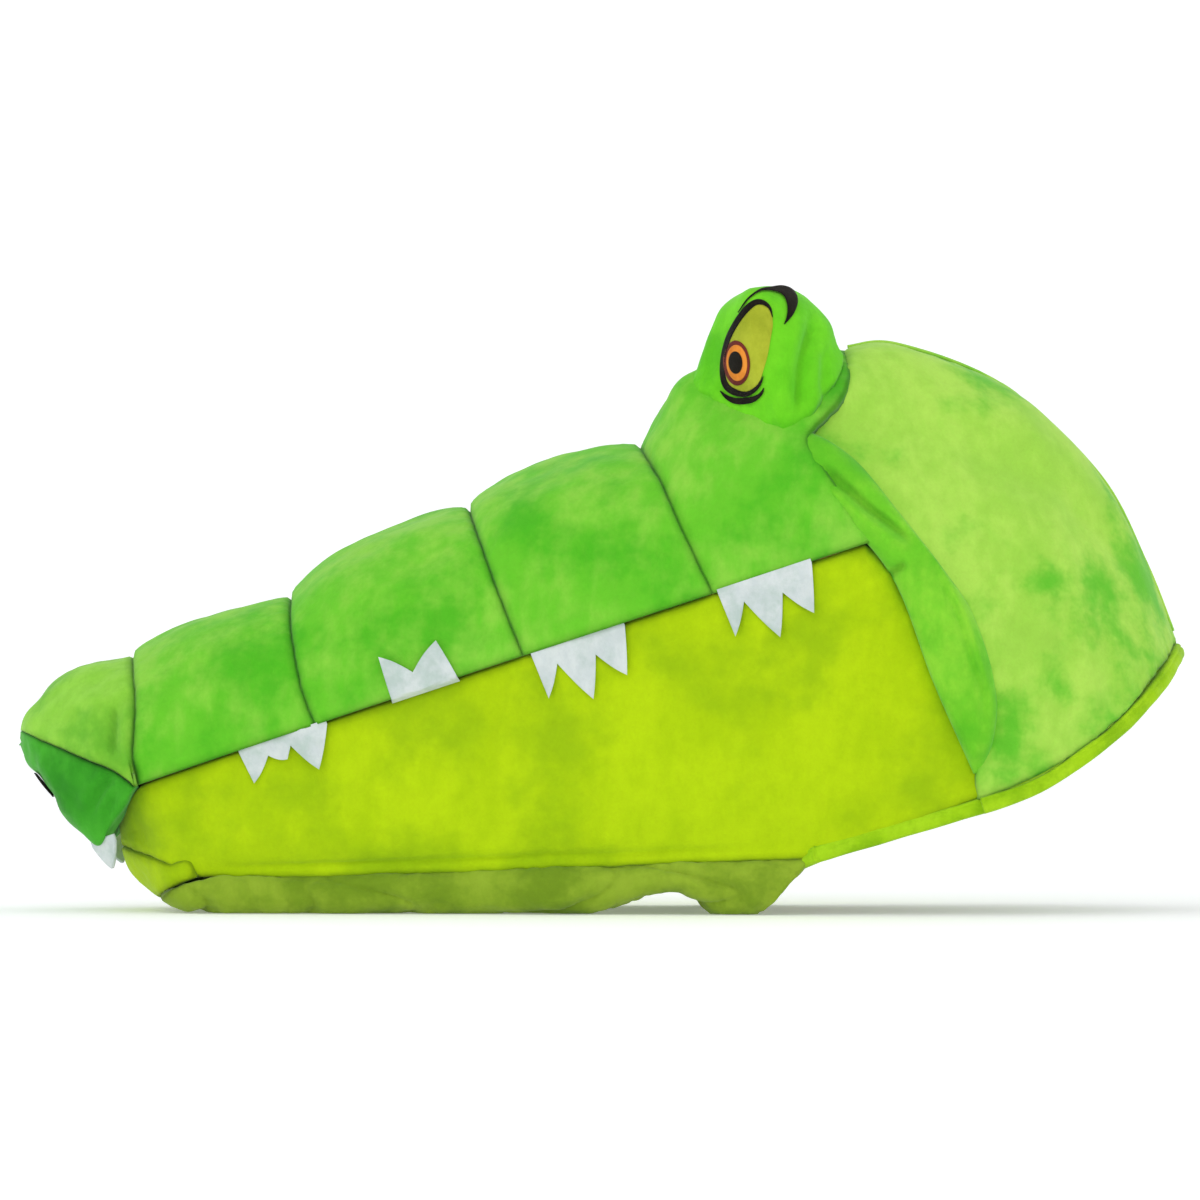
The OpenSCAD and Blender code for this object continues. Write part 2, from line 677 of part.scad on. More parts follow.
// Rear edge of the underside, where the lip's binding is sewn on
function underside_rear(v) = mix(lip_x - hem_t / 2, jaw_corner[0] - 1, v * v);

function underside_at(u, v, off) =
  let (front = chin_front + 40 - 40 * pow(1 - pow(min(abs(v), 0.999), 2.6), 1 / 2.6),
       x = mix(front, underside_rear(v), u),
       h = seam_h(mouth_x(x)), low = underside_z(x, v))
  [x, v * seam_w(x), off == 0 ? low : min(mix(low + underside_t, h - 0.6, pow(abs(v), 3)), h - 0.6)];

// Stations across the jaw, shared by the underside and the binding on its rear edge
across = [-1, -0.92, -0.8, -0.62, -0.4, -0.15, 0.15, 0.4, 0.62, 0.8, 0.92, 1];

module jaw_underside() {
  rows = 20;
  color(lime_shade) difference() {
    wall([for (i = [0:rows]) [for (v = across) underside_at(i / rows, v, 1)]],
         [for (i = [0:rows]) [for (v = across) underside_at(i / rows, v, 0)]]);
    translate([-cheek_w * 2, -cheek_w, -10]) cube([cheek_w * 4, cheek_w * 2, 10]);
  }
}

// Binding round the jaw's part of the neck opening
module lip_hem() {
  w = seam_w(jaw_corner[0]);
  path = [for (v = across)
    let (run = 2 * v * (jaw_corner[0] - lip_x) / w)
    [underside_rear(v) + (hem_t / 2 + seat + gap) * sqrt(1 + run * run), v * w,
     mix(lip_h, seam_rear_h - hem_h, v * v) + hem_h / 2]];
  color(lime) tube(path, [for (p = path) [0, 0, 1]], [for (p = path) hem_h],
    [for (p = path) hem_t]);
}

// A point of the side's stretch behind the jaw, w from the jaw to the jowl
function gusset_at(t, w, off) =
  let (a = jaw_side_at(1, t, off) + [gap, 0, 0], z = mix(-gusset_start, -hem_side_drop, t),
       b = [curve(jowl_front, z) - gap, off - crown_side_y(z) + 1, z])
  [for (k = [0:2]) mix(a[k], b[k], w)];

module cheek_gusset(side) {
  rows = 10;
  cols = 5;
  ts = [for (i = [0:rows]) mix(0.06, 1, i / rows)];
  color(lime) stand() both(side)
    wall([for (t = ts) [for (k = [0:cols]) gusset_at(t, k / cols, 0)]],
         [for (t = ts) [for (k = [0:cols]) gusset_at(t, k / cols, skin_t)]]);
}

module gusset_hem(side) {
  steps = 8;
  path = [for (i = [0:steps]) let (g = gusset_at(1, mix(0.14, 0.94, i / steps), 0))
    [g[0], g[1] + hem_t * 0.4, g[2] - hem_h / 2 - touch]];
  color(lime) stand() both(side) tube(path, [for (p = path) [0, 0, 1]],
    [for (p = path) hem_h], [for (p = path) hem_t]);
}

nose_cap();
nose_front_panel();
nostril(-1);  // nostril_left
nostril(1);  // nostril_right
snout_panel_1();
snout_panel_2();
snout_panel_3();
cheek_panel();
snout_stuffing();
upper_mouth_board();
palate_lining();
finger_pocket();
crown_half(-1);  // crown_left
crown_half(1);  // crown_right
crown_seam();
jowl(-1);  // jowl_left
jowl(1);  // jowl_right
crown_hem();
eye_mound(-1);  // eye_mound_left
eye_mound(1);  // eye_mound_right
eye_white(-1);  // eye_white_left
eye_white(1);  // eye_white_right
iris(-1);  // iris_left
iris(1);  // iris_right
pupil(-1);  // pupil_left
pupil(1);  // pupil_right
brow_mark(-1);  // brow_mark_left
brow_mark(1);  // brow_mark_right
front_teeth();
upper_teeth_front(-1);  // upper_teeth_front_left
upper_teeth_front(1);  // upper_teeth_front_right
upper_teeth_middle(-1);  // upper_teeth_middle_left
upper_teeth_middle(1);  // upper_teeth_middle_right
upper_teeth_rear(-1);  // upper_teeth_rear_left
upper_teeth_rear(1);  // upper_teeth_rear_right
jaw_side(-1);  // jaw_side_left
jaw_side(1);  // jaw_side_right
chin_panel();
jaw_underside();
lip_hem();
lower_mouth_board();
mouth_floor_lining();
tongue();
thumb_pocket();
jaw_stuffing();
lower_teeth(-1);  // lower_teeth_left
lower_teeth(1);  // lower_teeth_right
cheek_gusset(-1);  // cheek_gusset_left
cheek_gusset(1);  // cheek_gusset_right
gusset_hem(-1);  // gusset_hem_left
gusset_hem(1);  // gusset_hem_right
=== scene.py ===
"""Looks of a moving-mouth crocodile hand puppet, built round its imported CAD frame.

Every soft piece is a sewn panel of short-pile plush. A panel starts as a grid of points
on the same curves as the CAD solid it stands for. Its edges roll down into their seams,
stuffing lumps it, and creases are pressed into it. Work is done in the mouth frame:
millimetres, the hinge at zero, -X ahead along the closed mouth and +Z up.
"""

import json
import logging
import math
from dataclasses import dataclass, field
from enum import Enum

import bmesh
import bpy
import numpy as np
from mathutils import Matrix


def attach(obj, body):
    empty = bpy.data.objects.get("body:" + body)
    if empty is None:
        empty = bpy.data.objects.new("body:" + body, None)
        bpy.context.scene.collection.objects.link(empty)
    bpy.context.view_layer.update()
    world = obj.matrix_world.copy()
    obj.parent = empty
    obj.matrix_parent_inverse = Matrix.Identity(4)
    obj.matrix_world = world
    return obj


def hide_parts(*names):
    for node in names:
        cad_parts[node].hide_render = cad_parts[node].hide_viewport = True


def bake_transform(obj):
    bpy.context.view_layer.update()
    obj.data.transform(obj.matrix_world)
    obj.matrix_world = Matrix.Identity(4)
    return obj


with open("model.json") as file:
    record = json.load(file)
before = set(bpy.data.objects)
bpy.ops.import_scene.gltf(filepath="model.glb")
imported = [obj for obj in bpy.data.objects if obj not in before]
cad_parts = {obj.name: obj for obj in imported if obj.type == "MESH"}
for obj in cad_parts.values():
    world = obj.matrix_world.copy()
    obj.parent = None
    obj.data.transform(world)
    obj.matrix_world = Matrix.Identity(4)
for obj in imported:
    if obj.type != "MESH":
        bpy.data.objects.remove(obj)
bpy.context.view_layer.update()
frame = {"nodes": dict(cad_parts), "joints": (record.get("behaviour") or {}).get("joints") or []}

LOG = logging.getLogger("puppet")
MM = 0.001
LEFT, RIGHT = -1, 1
WORDS = {LEFT: "left", RIGHT: "right"}
Array = np.ndarray
Curve = tuple[tuple[float, float], ...]
Stroke = tuple[tuple[float, float, float], ...]
# a point's distance from the stitching, where it is far from any, in mm
FAR = 30.0
# stations between which the cheeks would bend, and the height they are measured at; bend() works
# out points from them and does not use them
BEND_START, BEND_END, BEND_HEIGHT = -43.0, 19.0, -100.0


# ---------------------------------------------------------------- curves and fields


def mix(a: Array | float, b: Array | float, t: Array | float) -> Array | float:
    """a at t 0, b at t 1, straight between."""
    return a + (b - a) * t


def smooth(t: Array | float) -> Array:
    """0 below 0, 1 above 1, an S curve between."""
    c = np.clip(t, 0.0, 1.0)
    return c * c * (3.0 - 2.0 * c)


def curve(table: Curve, x: Array | float) -> Array:
    """A smooth curve through a table of points: cubic pieces whose slopes are those
    between each point's neighbours.

    Args:
        table: (x, y) pairs, x rising.
        x: where to read the curve; held at its ends.

    Returns:
        The curve's y for each x.
    """
    xs, ys = np.asarray(table, float).T
    n = np.arange(len(xs))
    before, after = np.maximum(n - 1, 0), np.minimum(n + 1, len(xs) - 1)
    slopes = (ys[after] - ys[before]) / (xs[after] - xs[before])
    q = np.clip(x, xs[0], xs[-1])
    i = np.clip(np.searchsorted(xs, q, side="right") - 1, 0, len(xs) - 2)
    h = xs[i + 1] - xs[i]
    s = (q - xs[i]) / h
    return (ys[i] * (2 * s**3 - 3 * s**2 + 1) + slopes[i] * h * (s**3 - 2 * s**2 + s)
            + ys[i + 1] * (3 * s**2 - 2 * s**3) + slopes[i + 1] * h * (s**3 - s**2))


def signed(value: Array, power: Array | float) -> Array:
    """The size of a value raised to a power, with the value's own sign."""
    return np.sign(value) * np.abs(value) ** power


def bell(t: Array) -> Array:
    """1 at 0, falling to nothing by about 2 either way."""
    return np.exp(-t * t)


def even_angles(count: int, reach: float = 90.0) -> Array:
    """Angles over the top of a section, from -reach to reach, closer together at the top
    and at the lips, where a squarish section turns fastest."""
    t = np.linspace(0.0, 1.0, count // 2 + 1)
    a = t**1.25 / (t**1.25 + (1.0 - t) ** 1.25)
    return np.concatenate([-a[:0:-1], a]) * reach


class Lumps:
    """A smooth random field: the sum of sine waves in fixed random directions."""

    def __init__(self, seed: int, size: float, waves: int = 16) -> None:
        """Args:
            seed: picks the field.
            size: length of a lump, in mm.
            waves: how many waves are summed.
        """
        rng = np.random.default_rng(seed)
        ways = rng.normal(size=(waves, 3))
        ways /= np.linalg.norm(ways, axis=1, keepdims=True)
        self.ways = ways * (math.tau / size) * rng.uniform(0.55, 1.6, (waves, 1))
        self.starts = rng.uniform(0.0, math.tau, waves)

    def at(self, points: Array) -> Array:
        """The field at the points, mostly between -1 and 1."""
        return np.sin(points @ self.ways.T + self.starts).sum(-1) / math.sqrt(len(self.starts))


# ---------------------------------------------------------------- the mouth frame


@dataclass(frozen=True)
class Stand:
    """The mouth frame's place on the table."""

    hinge: tuple[float, float, float]
    pitch: float = math.radians(18.4)

    def place(self, points: Array) -> Array:
        """Row-frame metres of points in the mouth frame: turned nose down by the pitch
        about the hinge. Nothing goes below the table.

        Args:
            points: millimetres in the mouth frame, any shape that ends in 3.

        Returns:
            Metres in the row frame, the same shape.
        """
        c, s = math.cos(self.pitch), math.sin(self.pitch)
        x, y, z = np.moveaxis(np.asarray(points, float) * MM, -1, 0)
        up = np.maximum(self.hinge[2] + x * s + z * c, 0.0)
        return np.stack([self.hinge[0] + x * c - z * s, y, up], -1)

    def lay(self, points: Array) -> Array:
        """Mouth-frame millimetres of points given in the row frame's millimetres."""
        c, s = math.cos(self.pitch), math.sin(self.pitch)
        x, y, z = np.moveaxis(np.asarray(points, float), -1, 0)
        dx, dz = x - self.hinge[0] / MM, z - self.hinge[2] / MM
        return np.stack([dx * c + dz * s, y, dz * c - dx * s], -1)


STAND = Stand(tuple(frame["joints"][0]["pos_m"]))


# ---------------------------------------------------------------- panels and meshes


class Edge(Enum):
    """The four edges of a panel's grid."""

    FIRST_ROW = "first row"
    LAST_ROW = "last row"
    FIRST_COL = "first column"
    LAST_COL = "last column"


@dataclass(frozen=True)
class Seam:
    """How one edge of a panel is drawn down.

    depth is how far the edge goes in, radius how far back its roll starts, and gather
    the height of the small puckers beside the stitches, all in mm.
    """

    depth: float = 2.2
    radius: float = 4.0
    gather: float = 0.25


@dataclass(frozen=True)
class Crease:
    """A line pressed into a panel, or raised on it if depth is negative.

    line holds (station, height) points in the mouth frame, seen from the side. width is
    half the crease's width, and ridge the height of the bank on either side.
    """

    line: Curve
    depth: float
    width: float
    ridge: float = 0.0

    def press(self, points: Array) -> Array:
        """How far each point goes in: a bell across the line, fading at its ends, less a
        softer raised bank on either side.

        Args:
            points: the panel's points, in the mouth frame.

        Returns:
            Depths in mm.
        """
        flat = points[..., (0, 2)]
        best = np.full(flat.shape[:-1], 1e9)
        along = np.zeros_like(best)
        line = np.asarray(self.line, float)
        runs = np.linalg.norm(np.diff(line, axis=0), axis=1)
        ends = np.concatenate([[0.0], np.cumsum(runs)])
        for a, b, start, run in zip(line[:-1], line[1:], ends, runs):
            t = np.clip((flat - a) @ (b - a) / run**2, 0.0, 1.0)
            far = np.linalg.norm(flat - a - t[..., None] * (b - a), axis=-1)
            nearer = far < best
            best = np.where(nearer, far, best)
            along = np.where(nearer, start + t * run, along)
        fade = smooth(along / (0.3 * ends[-1])) * smooth((ends[-1] - along) / (0.3 * ends[-1]))
        press = self.depth * bell(best / self.width) * np.maximum(fade, 0.12)
        return press - self.ridge * bell((best - 2.2 * self.width) / self.width) * fade


def grid_normals(grid: Array, inside: Array) -> Array:
    """Unit normals of a grid: the cross product of its two directions, turned as a whole
    to point away from the point inside.

    Args:
        grid: rows by columns by 3.
        inside: a point behind the grid.

    Returns:
        Normals, the grid's shape.
    """
    down, across = np.gradient(grid, axis=0), np.gradient(grid, axis=1)
    n = np.cross(down, across)
    n /= np.maximum(np.linalg.norm(n, axis=-1, keepdims=True), 1e-9)
    away = np.sum(n * (grid - inside))
    return n if away > 0 else -n


def run_lengths(grid: Array, axis: int) -> Array:
    """Distance along the grid's lines from their start.

    Args:
        grid: rows by columns by 3.
        axis: 0 down the rows, 1 along the columns.

    Returns:
        Millimetres, rows by columns.
    """
    steps = np.linalg.norm(np.diff(grid, axis=axis), axis=-1)
    pad = [(0, 0), (0, 0)]
    pad[axis] = (1, 0)
    return np.pad(np.cumsum(steps, axis=axis), pad)


def relax(grid: Array, axis: int, passes: int) -> Array:
    """The grid smoothed along one axis: each pass moves a point halfway to the middle of
    its two neighbours; the ends stay.

    Args:
        grid: rows by columns by 3.
        axis: the axis to smooth along.
        passes: how many times.

    Returns:
        A new grid.
    """
    g = np.moveaxis(grid.copy(), axis, 0)
    for _ in range(passes):
        g[1:-1] = 0.5 * g[1:-1] + 0.25 * (g[:-2] + g[2:])
    return np.moveaxis(g, 0, axis)


def quads(rows: int, cols: int, start: int = 0, flip: bool = False) -> Array:
    """The faces of a grid of points.

    Args:
        rows: points down.
        cols: points across.
        start: index of its first point.
        flip: whether the faces look the other way.

    Returns:
        Rows of four indices.
    """
    i, j = np.meshgrid(np.arange(rows - 1), np.arange(cols - 1), indexing="ij")
    a = (start + i * cols + j).ravel()
    f = np.stack([a, a + 1, a + cols + 1, a + cols], -1)
    return f[:, ::-1] if flip else f


def new_piece(name: str, points: Array, faces: list, seam: Array | None = None) -> bpy.types.Object:
    """A closed, smooth-shaded mesh object in the row frame, its faces outwards.

    Args:
        name: the piece's name.
        points: n by 3, millimetres in the mouth frame.
        faces: lists of indices.
        seam: distance of each point from the nearest stitching in mm, made shorter in creases; the
            finishes paint shade from it. Or None.

    Returns:
        The object, linked to the scene.
    """
    mesh = bpy.data.meshes.new(name)
    mesh.from_pydata(STAND.place(points).tolist(), [], faces)
    # distance to the stitching, from which the materials paint shade into seams and creases
    layer = mesh.attributes.new("seam", "FLOAT", "POINT")
    near = np.full(len(points), FAR) if seam is None else np.asarray(seam).ravel()
    layer.data.foreach_set("value", near.astype(np.float32))
    work = bmesh.new()
    work.from_mesh(mesh)
    bmesh.ops.remove_doubles(work, verts=work.verts, dist=1e-6)
    bmesh.ops.recalc_face_normals(work, faces=work.faces)
    work.to_mesh(mesh)
    work.free()
    mesh.polygons.foreach_set("use_smooth", np.ones(len(mesh.polygons), bool))
    obj = bpy.data.objects.new(name, mesh)
    bpy.context.scene.collection.objects.link(obj)
    return obj


@dataclass
class Panel:
    """One sewn panel of padded plush, on a grid of points in the mouth frame."""

    name: str
    grid: Array
    inside: tuple[float, float, float]
    seams: dict[Edge, Seam] = field(default_factory=dict)
    creases: tuple[Crease, ...] = ()
    wall: Array | float = 3.5
    lump: float = 0.8
    lump_size: float = 48.0
    seed: int = 1
    extra: Array | float = 0.0
    across: tuple[float, float, float] | None = None

    def end_normals(self, normals: Array, rows: Array) -> Array:
        """The normals, turned square to the way across the end seams within 7 mm of the
        first and last rows, so that a roll goes straight in and opens no gap."""
        if self.across is None:
            return normals
        square = np.cross(np.gradient(self.grid, axis=1), np.asarray(self.across, float))
        square /= np.maximum(np.linalg.norm(square, axis=-1, keepdims=True), 1e-9)
        square = square * np.sign((square * normals).sum(-1, keepdims=True))
        keep = smooth(np.minimum(rows, rows[-1] - rows) / 7.0)[..., None]
        turned = mix(square, normals, keep)
        return turned / np.linalg.norm(turned, axis=-1, keepdims=True)

    def surface(self) -> tuple[Array, Array, Array]:
        """The panel's outer face: the grid lumped, creased and rolled down at its seams.
        A roll is a quarter circle in depth, and its puckers are a short wave along the
        seam that dies away from it.

        Returns:
            Points, normals and each point's distance from the nearest seam, made shorter along
            creases so that painted shade falls in them.
        """
        grid = self.grid
        normals = grid_normals(grid, np.asarray(self.inside, float))
        runs = [run_lengths(grid, 0), run_lengths(grid, 1)]
        normals = self.end_normals(normals, runs[0])
        away = {Edge.FIRST_ROW: runs[0], Edge.LAST_ROW: runs[0][-1] - runs[0],
                Edge.FIRST_COL: runs[1], Edge.LAST_COL: runs[1][:, -1:] - runs[1]}
        drop = np.zeros(grid.shape[:2])
        near = np.full(grid.shape[:2], FAR)
        ripple = Lumps(self.seed + 50, 9.0).at(grid) + 0.6 * Lumps(self.seed + 51, 4.2).at(grid)
        for edge, seam in self.seams.items():
            d = away[edge]
            t = np.clip(1.0 - d / seam.radius, 0.0, 1.0)
            drop = np.hypot(drop, seam.depth * (1.0 - np.sqrt(1.0 - t * t)))
            drop = drop + seam.gather * ripple * np.exp(-d / 7.0)
            near = np.minimum(near, d)
        free = smooth(near / 14.0)
        lumps = self.lump * Lumps(self.seed, self.lump_size).at(grid)
        lumps = lumps + 0.3 * self.lump * Lumps(self.seed + 9, self.lump_size / 2.6).at(grid)
        move = lumps * (0.25 + 0.75 * free) - drop + self.extra * smooth(near / 7.0)
        press = sum((crease.press(grid) for crease in self.creases), np.zeros(near.shape))
        # painted shade: a crease counts as near a seam, so the seam shade darkens it
        near = np.minimum(near, np.maximum(8.0 - 2.6 * press, 1.4))
        return grid + normals * (move - press)[..., None], normals, near

    def build(self) -> bpy.types.Object:
        """The closed panel: its outer face, an inner face one wall behind, and a rim."""
        outer, normals, near = self.surface()
        inner = outer - normals * (np.broadcast_to(self.wall, near.shape))[..., None]
        return slab(self.name, outer, inner, near)


def slab_faces(rows: int, cols: int) -> Array:
    """The faces of a closed solid between two grids of one shape: both grids and a rim.

    Args:
        rows: points down.
        cols: points across.

    Returns:
        Rows of four indices, the outer grid's points counted before the inner's.
    """
    n = rows * cols
    index = np.arange(n).reshape(rows, cols)
    edge = np.concatenate([index[0], index[1:, -1], index[-1, -2::-1], index[-2:0:-1, 0]])
    ahead = np.roll(edge, -1)
    rim = np.stack([ahead, edge, edge + n, ahead + n], -1)
    return np.concatenate([quads(rows, cols), quads(rows, cols, n, True), rim])


def bend(obj: bpy.types.Object) -> None:
    """Bakes a piece's place into its mesh; the points where the cheek would bend are worked out and
    not used.
    """
    start, end = (tuple(STAND.place(np.array((x, 0, BEND_HEIGHT))))
                  for x in (BEND_START, BEND_END))
    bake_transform(obj)


def slab(name: str, outer: Array, inner: Array, near: Array | None = None) -> bpy.types.Object:
    """A closed solid between two grids of the same shape: both faces and a rim.

    Args:
        name: the piece's name.
        outer: rows by columns by 3, in the mouth frame.
        inner: the grid behind it.
        near: distance of each point from the nearest stitching.

    Returns:
        The object.
    """
    faces = slab_faces(*outer.shape[:2])
    points = np.concatenate([outer.reshape(-1, 3), inner.reshape(-1, 3)])
    return new_piece(name, points, faces.tolist(), None if near is None
                     else np.tile(near.ravel(), 2))


def ring_piece(name: str, rings: Array, seam: Array | None = None) -> bpy.types.Object:
    """A closed body through rings of points, each end closed to its own middle point.

    Args:
        name: the piece's name.
        rings: rings by points by 3, in the mouth frame.
        seam: distance from the stitching for each point of the rings.

    Returns:
        The object.
    """
    m, n = rings.shape[:2]
    i, j = np.meshgrid(np.arange(m - 1), np.arange(n), indexing="ij")
    a, b = (i * n + j).ravel(), (i * n + (j + 1) % n).ravel()
    sides = np.stack([a, b, b + n, a + n], -1)
    k = np.arange(n)
    caps = np.concatenate([np.stack([(k + 1) % n, k, np.full(n, m * n)], -1),
                           np.stack([k, (k + 1) % n, np.full(n, m * n + 1)], -1)
                           + np.array([(m - 1) * n, (m - 1) * n, 0])])
    ends = np.stack([rings[0].mean(0), rings[-1].mean(0)])
    points = np.concatenate([rings.reshape(-1, 3), ends])
    near = None if seam is None else np.concatenate([
        np.broadcast_to(seam, rings.shape[:2]).ravel(), [seam[0, 0], seam[-1, 0]]])
    return new_piece(name, points, sides.tolist() + caps.tolist(), near)


def swept(path: Array, up: Array, profile: Array) -> Array:
    """Rings of a profile carried along a path. Its first coordinate goes across, away
    from the path's left, and its second goes up.

    Args:
        path: n by 3 points.
        up: n by 3 rough upward directions.
        profile: n by k by 2, or k by 2 for one profile all along.

    Returns:
        n by k by 3 points.
    """
    ahead = np.gradient(path, axis=0)
    ahead /= np.linalg.norm(ahead, axis=1, keepdims=True)
    side = np.cross(ahead, up)
    side /= np.linalg.norm(side, axis=1, keepdims=True)
    top = np.cross(side, ahead)
    profile = np.broadcast_to(profile, (len(path), *profile.shape[-2:]))
    return (path[:, None] + side[:, None] * profile[..., :1] + top[:, None] * profile[..., 1:])


# ---------------------------------------------------------------- the snout


@dataclass
class Snout:
    """Nose, three quilted panels and the cheek. Lengths are stations along the mouth."""

    grooves: tuple[float, ...] = (-293.0, -226.0, -140.0, -64.0)
    nose_l: float = 55.6
    lip_front: float = 56.0
    lip_rear: float = 85.0
    puff: float = 8.0
    squareness: float = 0.8
    # how far neighbouring panels lap over a groove's line
    overlap: float = 0.35
    panel_rows: tuple[int, ...] = (40, 52, 48)
    ridge: Curve = ((-348.6, 34.0), (-346.2, 38.6), (-342.0, 42.6), (-335.7, 45.8), (-329.7, 50.0),
                    (-320.0, 53.4), (-311.0, 54.0), (-293.0, 52.0), (-226.0, 54.0),
                    (-140.0, 65.0), (-64.0, 68.0), (-34.0, 77.0), (24.0, 80.0))
    # underside of the head: up the nose's front, along the nose lip, along the mouth
    under: Curve = ((-348.6, 32.6), (-347.6, 25.6), (-343.6, 17.0), (-340.4, 7.8),
                    (-338.6, 0.0), (-334.9, -10.4), (-330.5, -18.6), (-325.3, -17.4),
                    (-312.0, -4.6), (-305.0, 0.1), (30.0, 0.1))
    # where the cap is sewn to the front panel, seen from the side
    cap_seam: Curve = ((-348.0, 37.0), (-346.2, 36.5), (-333.5, 26.0), (-323.7, 17.4),
                       (-314.0, 9.4), (-306.8, 0.1))
    # how far each groove strays from its station, by height
    strays: tuple[Curve, ...] = (
        ((0.0, -12.5), (14.0, -10.5), (33.0, -3.5), (52.0, 0.0)),
        ((0.0, -3.0), (18.0, -3.4), (42.0, -0.4), (54.0, 2.5)),
        ((0.0, 0.8), (31.0, -0.8), (65.0, -1.8)),
        ((0.0, 6.0), (30.0, 2.4), (52.0, 0.4), (70.0, -3.0)))
    jowl_front: Curve = ((-104.0, 20.0), (-62.0, 16.0), (-18.0, 14.0), (12.0, 4.0),
                         (48.0, -6.0), (58.0, 8.0), (70.0, 20.0), (90.0, 24.0))
    # the cheek's rear edge, tucked under the jowl and against the crown
    rear_edge: Curve = ((-104.0, 24.0), (-62.0, 20.0), (-18.0, 18.0), (12.0, 8.0), (40.0, 0.0),
                        (50.0, -0.5), (60.0, 15.5), (70.0, 24.0), (90.0, 26.5))

    def lip(self, x: Array) -> Array:
        """Half width of the lips: straight in plan from the first groove to the hinge."""
        front = self.grooves[0]
        return mix(self.lip_front, self.lip_rear, np.clip((x - front) / -front, 0, 1))

    def swell(self, x: Array) -> Array:
        """0 in a groove and 1 in the middle of a quilted panel: a sine, fuller near its
        front, raised to a power below one so that it rises steeply from each seam."""
        g = np.asarray(self.grooves)
        i = np.clip(np.searchsorted(g, x, side="right") - 1, 0, 2)
        s = np.clip((x - g[i]) / (g[i + 1] - g[i]), 0, 1)
        hump = np.maximum(np.sin(np.pi * s**0.85), 0) ** 0.6
        return hump * np.where(i == 0, 0.6, 1.0) * ((x > g[0]) & (x < g[3]))

    def top(self, x: Array) -> Array:
        """Height of the snout's ridge."""
        return curve(self.ridge, x) + self.puff * self.swell(x)

    def half_width(self, x: Array) -> Array:
        """Half width at the lips, rounded off round the nose as a superellipse."""
        c = np.clip((self.grooves[0] - x) / self.nose_l, 0, 1)
        round_off = np.maximum(1 - c**2.4, 1e-5) ** (1 / 2.4)
        return (self.lip(x) + 0.35 * self.puff * self.swell(x)) * round_off

    def arch(self, x: Array, phi: Array) -> Array:
        """Points of the section at x, phi degrees from the top: a squarish arch, its
        width going with sin^0.8 and its height with cos^0.8.

        Args:
            x: stations.
            phi: angles, negative on the left.

        Returns:
            Points of the skin, on the grid of x by phi.
        """
        a = np.radians(phi)
        low, w = curve(self.under, x), self.half_width(x)
        y = np.sign(phi) * w * np.abs(np.sin(a)) ** self.squareness
        z = low + np.maximum(self.top(x) - low, 0.4) * np.abs(np.cos(a)) ** self.squareness
        return np.stack(np.broadcast_arrays(x, y, z), -1)

    def groove_line(self, i: int, z: Array) -> Array:
        """Station of groove i at height z."""
        return self.grooves[i] + curve(self.strays[i], z)

    def quilted(self, i: int, rows: int) -> Array:
        """Grid of the panel between a groove and the next: the arch, with its ends moved
        onto the two grooves' own lines.

        Args:
            i: the groove in front.
            rows: rows of points.

        Returns:
            The grid.
        """
        s = np.linspace(0, 1, rows)[:, None]
        p = self.arch(mix(self.grooves[i], self.grooves[i + 1], s), even_angles(190)[None])
        p[..., 0] = mix(self.groove_line(i, p[..., 2]) - self.overlap,
                        self.groove_line(i + 1, p[..., 2]) + self.overlap, s)
        return p

    def brow_base(self, p: Array) -> Array:
        """How far the cheek rises towards an eye mound: a bell across each eye, growing
        from the last groove back.

        Args:
            p: points of the arch.

        Returns:
            Rises in mm.
        """
        rise = smooth((p[..., 0] + 69) / 32) ** 0.85 * (1 - smooth((p[..., 0] - 2) / 18))
        return 17.0 * rise * bell((np.abs(p[..., 1]) - 39) / 23)

    def cheek(self, s: Array, phi: Array) -> Array:
        """Points of the cheek.

        Args:
            s: shares from the last groove to the jowl.
            phi: angles from the top.

        Returns:
            The grid.
        """
        p = self.dome(mix(self.grooves[3] + 0.3, 24.0, s), phi)
        front = self.groove_line(3, p[..., 2]) - self.overlap
        p[..., 0] = mix(front, curve(self.rear_edge, p[..., 2]), s)
        return p

    def dome(self, x: Array, phi: Array) -> Array:
        """The section's arch with the rise towards the eyes."""
        p = self.arch(x, phi)
        p[..., 2] += self.brow_base(p) * smooth((p[..., 2] - 20) / 40)
        return p

    def nose_rows(self, count: int) -> Array:
        """Stations over the nose, crowded towards the tip as its rounding needs."""
        t = np.linspace(0, 1, count)
        return self.grooves[0] - self.nose_l * (1 - (1 - t) ** 2.4)

    def cap_edge(self, x: Array) -> Array:
        """Angle at which the cap ends on the section at x."""
        low = curve(self.under, x)
        share = (curve(self.cap_seam, x) - low) / np.maximum(self.top(x) - low, 0.4)
        return np.degrees(np.arccos(np.clip(share, 0, 1) ** (1 / self.squareness)))

    def build(self, dress: "Wardrobe") -> None:
        """Makes and dresses every skin of the snout.

        Args:
            dress: the finishes.
        """
        soft, lip = Seam(2.2, 6.0, 0.3), Seam(0.5, 1.5, 0.0)
        sides = {Edge.FIRST_COL: lip, Edge.LAST_COL: lip}
        for i, rows in enumerate(self.panel_rows):
            panel = Panel(f"snout_panel_{i + 1}_plush", self.quilted(i, rows),
                          (sum(self.grooves[i:i + 2]) / 2, 0, 15),
                          {Edge.FIRST_ROW: soft, Edge.LAST_ROW: soft, **sides}, seed=11 + i,
                          across=(1, 0, 0))
            dress.piece(panel.build(), "head", f"snout_panel_{i + 1}", finish=dress.green,
                        pad=0.7)
        s = np.linspace(0, 1, 60)[:, None]
        cheek = Panel("cheek_plush", self.cheek(s, even_angles(190)[None]), (-20, 0, 15),
                      {Edge.FIRST_ROW: soft, Edge.LAST_ROW: Seam(2.0, 6.0, 0.4), **sides}, seed=15,
                      across=(1, 0, 0))
        dress.piece(cheek.build(), "head", "cheek_panel", finish=dress.green, pad=0.7)
        self.build_nose(dress)

